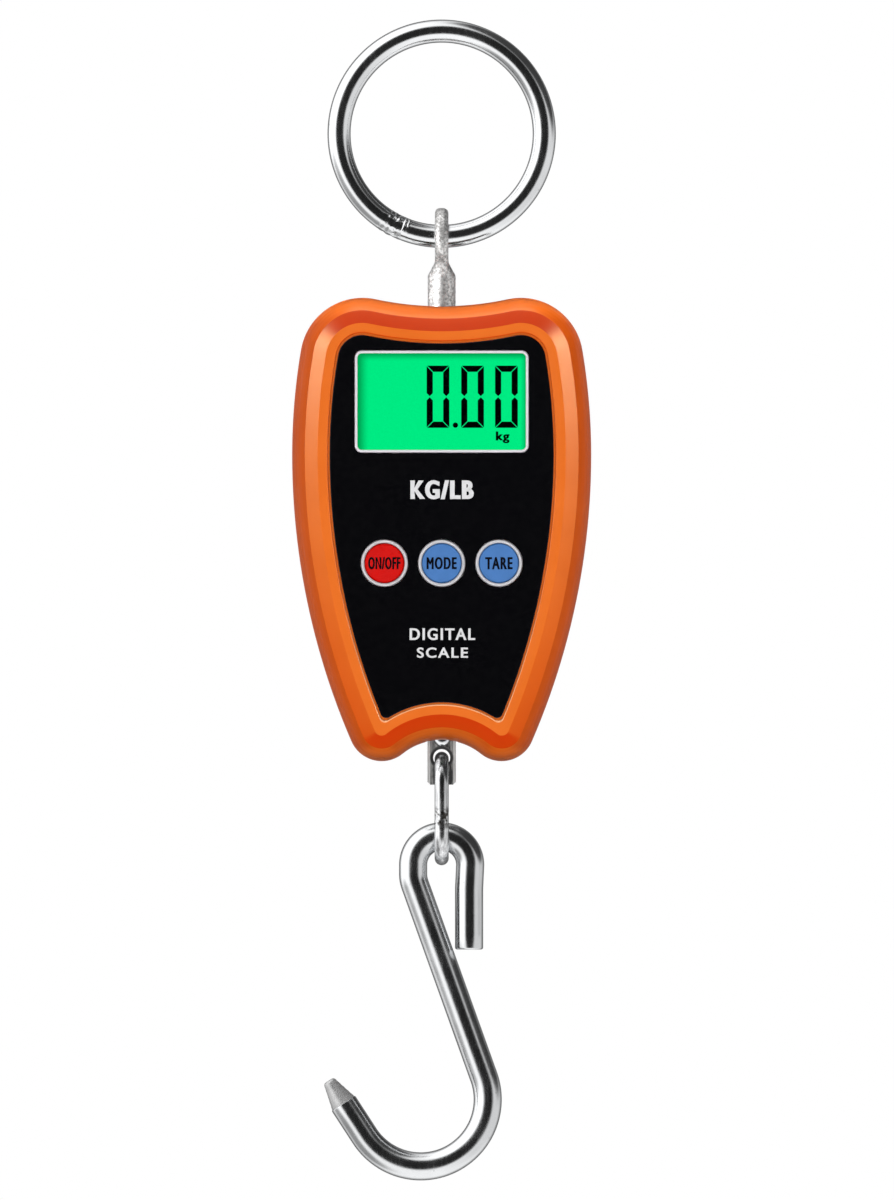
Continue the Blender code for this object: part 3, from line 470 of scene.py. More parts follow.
def make_cell_finish():
    """Sawn and brushed bar: dark scale along its length, lighter along its edges, and painted shade round
    the hole and in its countersink.
    """
    graph = Graph("cell_steel")
    graph.set(Metallic=0.7)
    brushed = graph.noise(1500.0, 4.0, (1.0, 1.0, 0.12), 0.65)
    across = graph.maths("ABSOLUTE", graph.axis("X"))
    # lighter along the bar's edges
    edge_band = graph.times(graph.ramp(across, 0.0029, 0.0031), graph.ramp(across, 0.0037, 0.0035, 0.35, 1.0))
    scale = graph.mottle(brushed, (0.08, 0.08, 0.08), (0.46, 0.46, 0.45), 0.38, 0.62)
    bright = graph.mix(edge_band, scale, (0.72, 0.72, 0.71))
    # painted shade round the hole and in its countersink
    height = graph.plus(graph.axis("Z"), -BAR_HOLE_Z * MM)
    from_hole = graph.maths("SQRT", graph.plus(graph.times(across, across), graph.times(height, height)))
    graph.link(graph.mix(graph.ramp(from_hole, 0.0032, 0.0030), bright, (0.17, 0.17, 0.17)), "Base Color")
    graph.gloss(brushed, 0.62, 0.40)
    graph.bump(brushed, 0.5, 0.06)
    return graph.material


def make_link_finish():
    """Plated link: lines along the wire, and dull burnt plating round its weld."""
    graph = Graph("link_wire")
    graph.set(Metallic=1.0)
    drawn = graph.noise(2200.0, 3.0, (1.0, 1.0, 0.08))
    haze = graph.noise(300.0, 4.0)
    from_burn = graph.maths("ABSOLUTE", graph.plus(graph.axis("Z"), -LINK_BURN_Z * MM))
    burnt = graph.times(graph.ramp(from_burn, 0.0034, 0.0012), graph.ramp(graph.noise(700.0), 0.42, 0.58))
    bright = graph.mottle(drawn, (0.50, 0.50, 0.51), (0.80, 0.81, 0.82), 0.35, 0.65)
    graph.link(graph.mix(burnt, bright, (0.06, 0.055, 0.05)), "Base Color")
    graph.link(graph.plus(graph.ramp(haze, 0.3, 0.7, 0.18, 0.30), graph.times(burnt, 0.15)), "Roughness")
    graph.bump(graph.plus(drawn, burnt), 0.35, 0.03)
    return graph.material


def make_zinc():
    """Rough cast and zinc plated: bright grains between dark hollows."""
    graph = Graph("cast_zinc")
    graph.set(Metallic=0.85)
    grains = graph.noise(1500.0, 5.0, None, 0.7)
    graph.link(graph.mottle(grains, (0.36, 0.355, 0.35), (0.90, 0.89, 0.88), 0.38, 0.62), "Base Color")
    graph.gloss(grains, 0.52, 0.36)
    graph.bump(graph.plus(grains, graph.noise(420.0)), 0.4, 0.09)
    return graph.material


def make_lcd():
    """A backlit display: even green, in shadow along its left, top and right edges."""
    graph = Graph("lcd_green")
    side = (WINDOW[0] / 2 - FRAME_WIDTH) * MM
    top_z = (DISPLAY_Z + WINDOW[1] / 2 - FRAME_WIDTH) * MM
    left = graph.ramp(graph.axis("X"), -side - 0.0003, -side + 0.0032)
    right = graph.ramp(graph.axis("X"), side + 0.0008, side - 0.0016)
    top = graph.ramp(graph.axis("Z"), top_z + 0.0003, top_z - 0.0022)
    even = graph.mottle(graph.noise(5000.0, 2.0), (0.0, 0.80, 0.215), (0.0, 0.84, 0.23))
    graph.link(graph.mix(graph.times(graph.times(left, top), right), (0.0, 0.33, 0.075), even),
               "Emission Color")
    graph.set(Base_Color=(0.0, 0.02, 0.01), Roughness=0.4, Emission_Strength=1.0, Specular_IOR_Level=0.0)
    return graph.material


def make_lens():
    """Clear film over the display, with a little dust."""
    graph = Graph("clear_lens")
    graph.set(Base_Color=(1.0, 1.0, 1.0), Transmission_Weight=1.0, IOR=1.1)
    graph.link(graph.ramp(graph.noise(900.0), 0.3, 0.8, 0.0, 0.02), "Roughness")
    return graph.material


def make_board_finish():
    """Green mask over a grid of tracks, with tinned pads."""
    graph = Graph("circuit_board")
    brick = graph.node("ShaderNodeTexBrick", Vector=graph.stretched((420.0, 1.0, 420.0)), Scale=1.0)
    tracks = brick.outputs["Fac"]
    pads = graph.ramp(graph.speckle(330.0), 0.10, 0.16, 1.0, 0.0)
    mask = graph.mix(tracks, (0.012, 0.13, 0.045), (0.02, 0.22, 0.08))
    graph.link(graph.mix(pads, mask, (0.62, 0.62, 0.6)), "Base Color")
    graph.link(pads, "Metallic")
    graph.gloss(graph.noise(700.0), 0.3, 0.45)
    graph.bump(tracks, 0.3, 0.03)
    return graph.material


def make_wrap():
    """A dry cell's printed wrap: a dark sleeve with a copper-coloured end."""
    graph = Graph("battery_wrap")
    scuffs = graph.noise(900.0, 4.0, (1.0, 1.0, 0.2))
    dark = graph.mottle(scuffs, (0.03, 0.035, 0.04), (0.08, 0.085, 0.09), 0.4, 0.8)
    band = graph.ramp(graph.axis("Z"), (WRAP_BAND_Z - 0.2) * MM, (WRAP_BAND_Z + 0.2) * MM)
    graph.link(graph.mix(band, dark, (0.55, 0.26, 0.08)), "Base Color")
    graph.gloss(scuffs, 0.2, 0.34)
    graph.set(Coat_Weight=0.4, Coat_Roughness=0.1)
    return graph.material


def make_panel_finish():
    """The black overlay: satin film with a faint orange-peel."""
    graph = Graph("black_panel")
    peel = graph.noise(900.0)
    graph.link(graph.mottle(peel, (0.0012, 0.0012, 0.0018), (0.0020, 0.0020, 0.0026)), "Base Color")
    graph.gloss(peel, 0.16, 0.22)
    graph.set(Specular_IOR_Level=0.3)
    graph.bump(peel, 0.06, 0.01)
    return graph.material


ORANGE = make_orange()
CHROME = make_chrome("chrome")
DRAWN = make_chrome("drawn_chrome", (0.74, 0.75, 0.76), (1.0, 1.0, 0.04), 0.15)
LINK_WIRE = make_link_finish()
ZINC = make_zinc()
LCD_GREEN = make_lcd()
LENS = make_lens()
BOARD = make_board_finish()
WRAP = make_wrap()
BLACK = make_panel_finish()
CELL_STEEL = make_cell_finish()
TIP = surface("machined_tip", (0.52, 0.52, 0.52), 0.40, 0.06, 1500.0, 0.12, metallic=0.75)
STEEL = surface("steel", (0.55, 0.55, 0.56), 0.28, 0.10, 900.0, 0.15, metallic=1.0)
SPRING = surface("spring_steel", (0.6, 0.6, 0.58), 0.25, 0.10, 1500.0, 0.15, metallic=1.0)
SILVER = surface("silver_rim", (0.68, 0.67, 0.69), 0.35, 0.03, 1800.0, 0.08, 0.01, metallic=0.30)
GAUGE = surface("gauge_film", (0.55, 0.32, 0.08), 0.35, 0.2, 2500.0, depth=0.01, stretch=(0.1, 1.0, 1.0))
FRAME_WHITE = surface("frame_white", (0.78, 0.74, 0.79), 0.32, 0.02, 1500.0, 0.06, 0.01)
INK_WHITE = surface("ink_white", (0.74, 0.74, 0.75), 0.45, 0.04, 3000.0, depth=0.01)
INK_BLACK = surface("ink_black", (0.0015, 0.0015, 0.003), 0.4, 0.2, 3000.0, depth=0.01,
                    Specular_IOR_Level=0.1)
SEGMENT = surface("segment_ink", (0.001, 0.004, 0.002), 0.45, 0.2, 3000.0, 0.05, 0.01,
                  Specular_IOR_Level=0.0)
DIFFUSER = surface("diffuser", (0.75, 0.9, 0.8), 0.5, 0.03, 1200.0)
HOLDER = surface("holder_plastic", (0.7, 0.7, 0.68), 0.5, 0.04, 1200.0)
ZEBRA = surface("zebra_rubber", (0.05, 0.05, 0.05), 0.8, 0.6, 5000.0, 0.2, stretch=(1.0, 0.02, 0.02))
CHIP = surface("chip_plastic", (0.022, 0.022, 0.024), 0.5, 0.2, 3000.0, 0.3)
RED = surface("red_cap", (0.64, 0.003, 0.001), 0.22, 0.04, 1400.0, 0.05, 0.01, Specular_IOR_Level=0.05)
BLUE = surface("blue_cap", (0.070, 0.200, 0.50), 0.22, 0.04, 1400.0, 0.05, 0.01, Specular_IOR_Level=0.05)
TRAY = surface("tray_plastic", (0.03, 0.03, 0.032), 0.5, 0.15, 1800.0, 0.3, 0.03)
LEAD_RED = surface("lead_red", (0.6, 0.03, 0.02), 0.45, 0.10, 1500.0)
LEAD_BLACK = surface("lead_black", (0.02, 0.02, 0.02), 0.45, 0.2, 1500.0)
LEAD_WHITE = surface("lead_white", (0.7, 0.7, 0.68), 0.45, 0.04, 1500.0)


# ---- mesh helpers

ROUND_STEPS = 8
FILLET_STEPS = 5


def object_from(bm, name, smooth_angle=35.0):
    """Turn a millimetre bmesh into an object in metres, with its faces pointing out."""
    bmesh.ops.recalc_face_normals(bm, faces=bm.faces)
    mesh = bpy.data.meshes.new(name)
    bm.to_mesh(mesh)
    bm.free()
    mesh.transform(Matrix.Scale(MM, 4))
    return smoothed(placed(name, mesh), smooth_angle)


def smoothed(item, angle=35.0):
    item.data.shade_smooth()
    item.data.set_sharp_from_angle(angle=math.radians(angle))
    return item


def dress(item, finish, body, slot, *nodes):
    """Give a piece its material and its CAD body, and hide the CAD nodes it stands for; slot is not used.
    """
    item.data.materials.clear()
    item.data.materials.append(finish)
    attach(item, body)
    if nodes:
        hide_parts(*nodes)


def bake_modifiers(item):
    """Put the result of the object's modifiers into its mesh."""
    graph = bpy.context.evaluated_depsgraph_get()
    mesh = bpy.data.meshes.new_from_object(item.evaluated_get(graph))
    item.modifiers.clear()
    item.data = mesh


def cut(item, tool, operation="DIFFERENCE"):
    """Cut or join with a tool, which is then removed."""
    step = item.modifiers.new("cut", "BOOLEAN")
    step.operation = operation
    step.solver = "EXACT"
    step.object = tool
    bake_modifiers(item)
    bpy.data.objects.remove(tool, do_unlink=True)


def bridge(bm, low, high):
    """Faces between two rings of equal point count."""
    for i in range(len(low)):
        j = (i + 1) % len(low)
        bm.faces.new((low[i], low[j], high[j], high[i]))


def at_y(points, y):
    """Points of the XZ plane, put at a height of Y."""
    return [(x, y, z) for x, z in points]


def loft(name, loops, smooth_angle=35.0):
    """A closed solid through loops of equal point count, capped at both ends."""
    bm = bmesh.new()
    rings = [[bm.verts.new(point) for point in loop] for loop in loops]
    for low, high in zip(rings, rings[1:]):
        bridge(bm, low, high)
    bm.faces.new(rings[0])
    bm.faces.new(rings[-1])
    return object_from(bm, name, smooth_angle)


def slab(outline_xz, y_front, y_back):
    """A cutting tool: an outline in the XZ plane, extruded along Y."""
    return loft("tool", [at_y(outline_xz, y) for y in (y_front, y_back)])


def rounded_rectangle(width, height, radius, centre):
    """Points of a rectangle with round corners in a plane."""
    points = []
    for side_x, side_z, start in ((1, 1, 0), (-1, 1, 90), (-1, -1, 180), (1, -1, 270)):
        for i in range(ROUND_STEPS + 1):
            angle = math.radians(start + 90.0 * i / ROUND_STEPS)
            points.append((centre[0] + side_x * (width / 2 - radius) + radius * math.cos(angle),
                           centre[1] + side_z * (height / 2 - radius) + radius * math.sin(angle)))
    return points


def filleted(corners):
    """A line through (a, b, radius) corners, each rounded by an arc of that radius."""
    line = [Vector(corners[0][:2])]
    for before, corner, after in zip(corners, corners[1:], corners[2:]):
        at, radius = Vector(corner[:2]), corner[2]
        back = (Vector(before[:2]) - at).normalized()
        onward = (Vector(after[:2]) - at).normalized()
        if radius <= 0.0:
            line.append(at)
            continue
        half = back.angle(onward) / 2
        centre = at + (back + onward).normalized() * radius / math.sin(half)
        start = (at + back * radius / math.tan(half) - centre).normalized()
        end = (at + onward * radius / math.tan(half) - centre).normalized()
        for i in range(FILLET_STEPS + 1):
            line.append(centre + radius * start.slerp(end, i / FILLET_STEPS))
    line.append(Vector(corners[-1][:2]))
    return [(point.x, point.y) for point in line]


def turned(name, profile, steps, axis="Y", at=(0.0, 0.0, 0.0), smooth_angle=35.0):
    """A profile of (radius, height) turned about an axis through a point."""
    bm = bmesh.new()
    line = [bm.verts.new((radius, 0.0, height)) for radius, height in profile]
    edges = [bm.edges.new(pair) for pair in zip(line, line[1:])]
    if profile[0][0] > 0.0 and profile[-1][0] > 0.0:
        edges.append(bm.edges.new((line[-1], line[0])))
    bmesh.ops.spin(bm, geom=line + edges, angle=math.tau, steps=steps, axis=(0, 0, 1),
                   cent=(0, 0, 0), use_merge=True)
    bmesh.ops.remove_doubles(bm, verts=bm.verts, dist=0.0002)
    if axis == "Y":
        bmesh.ops.rotate(bm, verts=bm.verts, matrix=Matrix.Rotation(math.radians(-90), 3, "X"))
    elif axis == "X":
        bmesh.ops.rotate(bm, verts=bm.verts, matrix=Matrix.Rotation(math.radians(90), 3, "Y"))
    bmesh.ops.translate(bm, verts=bm.verts, vec=at)
    return object_from(bm, name, smooth_angle)


def rod(name, radius, low, high, steps, axis="Y", at=(0.0, 0.0, 0.0)):
    return turned(name, [(0.0, low), (radius, low), (radius, high), (0.0, high)], steps, axis, at)


def block(low, high, bevel=0.0):
    """A cutting tool: a box between two corners, with its edges rounded if asked."""
    bm = bmesh.new()
    bmesh.ops.create_cube(bm, size=1.0)
    bmesh.ops.scale(bm, verts=bm.verts, vec=Vector(high) - Vector(low))
    bmesh.ops.translate(bm, verts=bm.verts, vec=(Vector(high) + Vector(low)) / 2)
    if bevel:
        bmesh.ops.bevel(bm, geom=bm.edges, offset=bevel, segments=2, profile=0.5, affect="EDGES")
    return object_from(bm, "tool")


def straight(start, end, steps):
    """Points on a straight line in the XZ plane, without the last one."""
    return [(start[0] + (end[0] - start[0]) * i / steps, start[1] + (end[1] - start[1]) * i / steps)
            for i in range(steps)]


def arc(centre, radius, start, end, steps):
    """Points on an arc in the XZ plane, without the last one."""
    angles = [start + (end - start) * i / steps for i in range(steps)]
    return [(centre[0] + radius * math.cos(a), centre[1] + radius * math.sin(a)) for a in angles]


def tube(name, path, radii, sides, cyclic=False, relief=None):
    """A round wire along points of the XZ or YZ plane; relief(i, angle) adds to its radius."""
    bm = bmesh.new()
    rings = []
    count = len(path)
    points = [Vector(point) for point in path]
    across = Vector((0, 1, 0)) if max(abs(p.y) for p in points) < 1e-6 else Vector((1, 0, 0))
    for i, point in enumerate(points):
        before = points[i - 1] if i or cyclic else point
        after = points[(i + 1) % count] if i < count - 1 or cyclic else point
        along = (after - before).normalized()
        side = along.cross(across)
        ring = []
        for k in range(sides):
            angle = math.tau * k / sides
            radius = radii[i] + (relief(i, angle) if relief else 0.0)
            ring.append(bm.verts.new(point + radius * (math.cos(angle) * side + math.sin(angle) * across)))
        rings.append(ring)
    pairs = list(zip(rings, rings[1:]))
    if cyclic:
        pairs.append((rings[-1], rings[0]))
    for low, high in pairs:
        bridge(bm, low, high)
    if not cyclic:
        bm.faces.new(rings[0])
        bm.faces.new(rings[-1])
    return object_from(bm, name)


# ---- housing outline

def tangent_side(corner, corner_r):
    """Radius of the side arc that touches the outline's widest point and a corner circle."""
    across = HALF_WIDTH - corner[0]
    along = corner[1] - WIDEST_Z
    return (across ** 2 + along ** 2 - corner_r ** 2) / (2 * (across - corner_r))


def tangent_hollow(corner, corner_r, edge_z):
    """Radius of the hollow arc on X = 0 that touches edge_z and a corner circle."""
    along = abs(corner[1] - edge_z)
    return (corner[0] ** 2 + along ** 2 - corner_r ** 2) / (2 * (corner_r - along))


UPPER_SIDE_R = tangent_side(TOP_CORNER, TOP_CORNER_R)
LOWER_SIDE_R = tangent_side(HORN, HORN_R)
DIP_R = tangent_hollow(TOP_CORNER, TOP_CORNER_R, TOP_DIP_Z)
ARCH_R = tangent_hollow(HORN, HORN_R, ARCH_Z)


def horn_circle(inset):
    """Centre and radius of the bottom corner, which keeps a least radius as the outline shrinks."""
    radius = max(HORN_R - inset, HORN_MIN_R)
    side = Vector((HALF_WIDTH - LOWER_SIDE_R, WIDEST_Z))
    arch = Vector((0.0, ARCH_Z - ARCH_R))
    to_side = LOWER_SIDE_R - inset - radius
    to_arch = ARCH_R + inset + radius
    apart = (arch - side).length
    along = (to_side ** 2 - to_arch ** 2 + apart ** 2) / (2 * apart)
    across = math.sqrt(to_side ** 2 - along ** 2)
    line = (arch - side).normalized()
    return side + along * line + across * Vector((-line.y, line.x)), radius


def bearing(start, end):
    return math.atan2(end[1] - start[1], end[0] - start[0])


def outline(inset):
    """The housing's outline in the XZ plane, moved inwards by inset."""
    dip = (0.0, TOP_DIP_Z + DIP_R)
    upper = (HALF_WIDTH - UPPER_SIDE_R, WIDEST_Z)
    lower = (HALF_WIDTH - LOWER_SIDE_R, WIDEST_Z)
    arch = (0.0, ARCH_Z - ARCH_R)
    horn, horn_r = horn_circle(inset)
    half = arc(dip, DIP_R + inset, -math.pi / 2, bearing(dip, TOP_CORNER), 14)
    half += arc(TOP_CORNER, TOP_CORNER_R - inset, bearing(TOP_CORNER, dip),
                bearing(upper, TOP_CORNER), 24)
    half += arc(upper, UPPER_SIDE_R - inset, bearing(upper, TOP_CORNER), 0.0, 12)
    half += arc(lower, LOWER_SIDE_R - inset, 0.0, bearing(lower, horn), 24)
    half += arc(horn, horn_r, bearing(lower, horn), bearing(horn, arch), 22)
    half += arc(arch, ARCH_R + inset, bearing(arch, horn), math.pi / 2, 16)
    half.append((0.0, ARCH_Z + inset))
    return half + [(-x, z) for x, z in half[-2:0:-1]]


def shell(name, section):
    """A shell whose wall follows a section of (inset, y) round the outline."""
    return loft(name, [at_y(outline(inset), y) for inset, y in section], SKIN_ANGLE)


def window_outline(inset):
    """The display window's outline in the XZ plane, moved inwards by inset."""
    return rounded_rectangle(WINDOW[0] - 2 * inset, WINDOW[1] - 2 * inset, WINDOW_CORNER_R - inset,
                             (0.0, DISPLAY_Z))


# ---- housing

def finish_skin(body, node):
    """A shell's finish; it takes the side strips, and stays out of the bright metal's reflections."""
    dress(smoothed(body, SKIN_ANGLE), ORANGE, "housing", "orange_plastic", node)
    body.visible_glossy = False
    SKINS.objects.link(body)


def cut_ways(body):
    """The ways out for the eye bolt's shank and the load cell's bar."""
    cut(body, rod("tool", SHANK_HOLE_R, -80.0, -60.0, 48, "Z"))
    x, y = BAR_SLOT
    cut(body, block((-x, -y, -190.0), (x, y, -176.0)))


def cut_openings(body, window_gap, rim_gap, front, back, steps):
    """The ways through for the display and the keys."""
    cut(body, slab(window_outline(-window_gap), front, back))
    for x in BUTTON_X.values():
        cut(body, rod("tool", RIM_OUTER_R + rim_gap, front, back, steps, at=(x, 0.0, BUTTON_Z)))


def make_front_shell():
    outer = filleted([(0.25, 0.0, 0.0), (0.0, 0.0, 0.2), (0.1, -3.5, 10.0), (0.4, -6.8, 8.0),
                      (0.95, -9.5, 6.0), (1.7, -11.3, 5.0), (2.5, -12.5, 5.0), (3.4, -13.6, 0.25),
                      (LAND_OUTER, LAND_Y, 0.4), (LAND_INNER, LAND_Y, 0.45), (LAND_INNER, RECESS_Y, 0.0)])
    inner = [(7.4, FRONT_INNER_Y), (4.6, -10.9), (3.2, -9.0), (2.4, -6.5), (2.0, 0.0),
             (2.0, 1.3), (1.15, 1.3), (1.15, 0.0)]
    body = shell("front_shell_skin", inner + outer)
    for x, z in SHELL_SCREWS:
        cut(body, rod("tool", FRONT_POST_R, -13.2, 0.2, 24, at=(x, 0.0, z)), "UNION")
        cut(body, rod("tool", PILOT_R, -10.0, 1.0, 20, at=(x, 0.0, z)))
    cut_openings(body, FIT_GAP, FIT_GAP, -17.0, -12.0, 40)
    cut_ways(body)
    finish_skin(body, "front_shell")


def make_rear_shell():
    inner = [(8.7, REAR_INNER_Y), (7.0, 16.0), (5.0, 14.9), (3.3, 12.6), (2.3, 9.0),
             (2.0, 1.7), (0.85, 1.7), (0.85, PARTING_GAP)]
    outer = filleted([(0.25, PARTING_GAP, 0.0), (0.0, PARTING_GAP, 0.2), (0.1, 4.5, 8.0), (0.5, 9.0, 8.0),
                      (1.5, 13.0, 5.0), (3.4, 16.0, 4.0), (6.0, 17.6, 4.0), (8.5, REAR_Y, 4.0),
                      (12.0, REAR_Y, 0.0)])
    body = shell("rear_shell_skin", inner + outer)
    for x, z in SHELL_SCREWS:
        cut(body, rod("tool", REAR_POST_R, 0.6, 16.6, 28, at=(x, 0.0, z)), "UNION")
        cut(body, rod("tool", SCREW_WELL_R, SCREW_SEAT_Y, 20.0, 32, at=(x, 0.0, z)))
        cut(body, rod("tool", PILOT_R, -1.0, 8.0, 20, at=(x, 0.0, z)))
    centre = (0.0, (DOOR_LOW.z + DOOR_TOP_Z) / 2)
    door = rounded_rectangle(2 * (DOOR_X + FIT_GAP), DOOR_TOP_Z - DOOR_LOW.z + 2 * FIT_GAP, 1.3, centre)
    cut(body, slab(door, 15.5, 20.0))
    cut_ways(body)
    finish_skin(body, "rear_shell")


def make_door():
    """The battery door: a thin lid with five grip grooves, and two tabs at its hinge."""
    centre = (0.0, (DOOR_LOW.z + DOOR_TOP_Z) / 2)
    height = DOOR_TOP_Z - DOOR_LOW.z
    edge = 0.25
    section = ((0.0, DOOR_INNER_Y), (0.0, REAR_Y - edge), (edge * 0.3, REAR_Y - edge * 0.3),
               (edge, REAR_Y))
    door = loft("battery_door_lid", [
        at_y(rounded_rectangle(2 * (DOOR_X - inset), height - 2 * inset, 1.0 - inset, centre), y)
        for inset, y in section])
    for x in (-DOOR_TAB_X, DOOR_TAB_X):
        root = block((x - 2.0, 15.0, DOOR_TOP_Z - 1.5), (x + 2.0, DOOR_INNER_Y + 0.4, DOOR_TOP_Z - 0.2))
        cut(door, root, "UNION")
        tab = block((x - 1.9, 15.05, DOOR_TOP_Z - 1.2), (x + 1.9, 15.75, DOOR_TOP_Z + 1.2))
        cut(door, tab, "UNION")
    for row in range(5):
        z = DOOR_LOW.z + 3.0 + 2.0 * row
        cut(door, block((-6.5, REAR_Y - 0.35, z - 0.45), (6.5, REAR_Y + 1.0, z + 0.45), 0.3))
    dress(smoothed(door, 30.0), ORANGE, "door", "orange_plastic", "battery_door")


def make_panel():
    edge = 0.12
    section = ((0.0, PANEL_BACK_Y), (0.0, PANEL_FRONT_Y + edge), (edge, PANEL_FRONT_Y))
    panel = loft("front_panel_film", [at_y(outline(PANEL_INSET + inset), y) for inset, y in section])
    cut_openings(panel, 0.15, 0.2, -16.0, -13.0, 48)
    panel.data.shade_flat()
    dress(panel, BLACK, "housing", "black_panel", "front_panel")


# ---- lettering

INK_DEPTH = 0.03
DIGIT_SIZE = (5.96, 16.3)
DIGIT_STROKE = 1.62
DIGIT_GAP = 0.14
DIGIT_CENTRES = (-0.96, 8.1, 16.98)
DIGIT_RISE = 1.3              # of the digits' middle above the window's
POINT_X, POINT_R = 3.6, 0.7
UNIT_CENTRE = (16.0, -103.45)


def embolden(mesh, weight):
    """Push the walls of extruded letters outwards in their own plane, by (x, y)."""
    bm = bmesh.new()
    bm.from_mesh(mesh)
    bmesh.ops.remove_doubles(bm, verts=bm.verts, dist=1e-4)
    bm.normal_update()
    shifts = {}
    for vertex in bm.verts:
        walls = [face.normal for face in vertex.link_faces if abs(face.normal.z) < 0.5]
        total = sum(walls, Vector())
        if total.length > 1e-6:
            outward = total.normalized()
            shifts[vertex] = outward / max(outward.dot(walls[0]), 0.6)
    for vertex, shift in shifts.items():
        vertex.co.x += shift.x * weight[0]
        vertex.co.y += shift.y * weight[1]
    bm.to_mesh(mesh)
    bm.free()


def lettering(name, words, centre, size, y, weight, spacing=1.0):
    """Printed words in the XZ plane: a thin mesh that fills size = (width, height) round a centre."""
    text = bpy.data.curves.new(name, "FONT")
    text.body = words
    text.align_x = "CENTER"
    text.space_character = spacing
    text.extrude = 0.5
    text.resolution_u = 6
    source = placed(name, text)
    graph = bpy.context.evaluated_depsgraph_get()
    mesh = bpy.data.meshes.new_from_object(source.evaluated_get(graph))
    bpy.data.objects.remove(source, do_unlink=True)
    item = placed(name, mesh)
    low = [min(vertex.co[axis] for vertex in mesh.vertices) for axis in (0, 1)]
    high = [max(vertex.co[axis] for vertex in mesh.vertices) for axis in (0, 1)]
    middle = Vector(((low[0] + high[0]) / 2, (low[1] + high[1]) / 2, 0.0))
    scale = [(size[axis] - 2 * weight[axis]) / (high[axis] - low[axis]) for axis in (0, 1)]
    mesh.transform(Matrix.Diagonal((scale[0], scale[1], 1.0, 1.0)) @ Matrix.Translation(-middle))
    embolden(mesh, weight)
    for vertex in mesh.vertices:
        flat = vertex.co.copy()
        vertex.co = Vector((centre[0] + flat.x, y - flat.z * INK_DEPTH, centre[1] + flat.y)) * MM
    return item


def make_print():
    """Generic words: the unit below the display, and what the device is."""
    front = PANEL_FRONT_Y
    rows = (("panel_words_units", "KG/LB", (0.1, -117.2), (16.6, 5.0), (0.36, 0.20), 1.24),
            ("panel_words_upper", "DIGITAL", (0.2, -155.05), (17.2, 3.15), (0.13, 0.08), 1.22),
            ("panel_words_lower", "SCALE", (0.2, -159.9), (13.4, 2.75), (0.12, 0.07), 1.22))
    for name, words, centre, size, weight, spacing in rows:
        item = lettering(name, words, centre, size, front, weight, spacing)
        dress(item, INK_WHITE, "housing", "frame_white")


def zero_bars(width, height, stroke, gap):
    """The six bars of a seven-segment zero about (0, 0): mitred at the corners, pointed at mid height."""
    side, top = width / 2, height / 2
    cap = [(gap - side, top), (side - gap, top), (side - gap - stroke, top - stroke),
           (gap + stroke - side, top - stroke)]
    post = [(side, top - gap), (side, gap + stroke / 2), (side - stroke / 2, gap),
            (side - stroke, gap + stroke / 2), (side - stroke, top - gap - stroke)]
    bars = [[(x, up * z) for x, z in cap] for up in (-1, 1)]
    return bars + [[(across * x, up * z) for x, z in post] for across in (-1, 1) for up in (-1, 1)]


def make_digits():
    """Three seven-segment zeros, a point and the unit, on the face of the display."""
    middle_z = DISPLAY_Z + DIGIT_RISE
    front, back = LCD_FRONT_Y - 0.06, LCD_FRONT_Y - 0.01
    half = (DIGIT_SIZE[1] - DIGIT_STROKE) / 2
    for number, x in enumerate(DIGIT_CENTRES, 1):
        bm = bmesh.new()
        for shape in zero_bars(*DIGIT_SIZE, DIGIT_STROKE, DIGIT_GAP):
            low = [bm.verts.new((x + a, front, middle_z + b)) for a, b in shape]
            high = [bm.verts.new((x + a, back, middle_z + b)) for a, b in shape]
            bm.faces.new(low)
            bm.faces.new(high)
            bridge(bm, low, high)
        dress(object_from(bm, f"digit_{number}"), SEGMENT, "housing", "chip_plastic")
    point = rod("digit_point", POINT_R, front, back, 32, at=(POINT_X, 0.0, middle_z - half - 0.1))
    dress(point, SEGMENT, "housing", "chip_plastic")
    unit = lettering("digit_unit", "kg", UNIT_CENTRE, (3.6, 3.1), back, (0.17, 0.10), 1.2)
    dress(unit, SEGMENT, "housing", "chip_plastic")


# ---- display and buttons

def make_bezel():
    """The pale frame round the window: round on its front edge, with a thin flange behind."""
    section = filleted([(0.0, BEZEL_HIGH.y, 0.0), (0.0, BEZEL_LOW.y, 0.28),
                        (FRAME_WIDTH, BEZEL_LOW.y, 0.28), (FRAME_WIDTH, BEZEL_HIGH.y, 0.0)])
    flange_y = BEZEL_HIGH.y - 0.6
    section = [(-1.5, BEZEL_HIGH.y), (-1.5, flange_y), (0.0, flange_y)] + section[1:]
    bm = bmesh.new()
    rings = []
    for inset, y in section:
        rings.append([bm.verts.new(point) for point in at_y(window_outline(inset), y)])
    for low, high in zip(rings, rings[1:] + rings[:1]):
        bridge(bm, low, high)
    dress(object_from(bm, "display_frame"), FRAME_WHITE, "housing", "frame_white", "lcd_bezel")


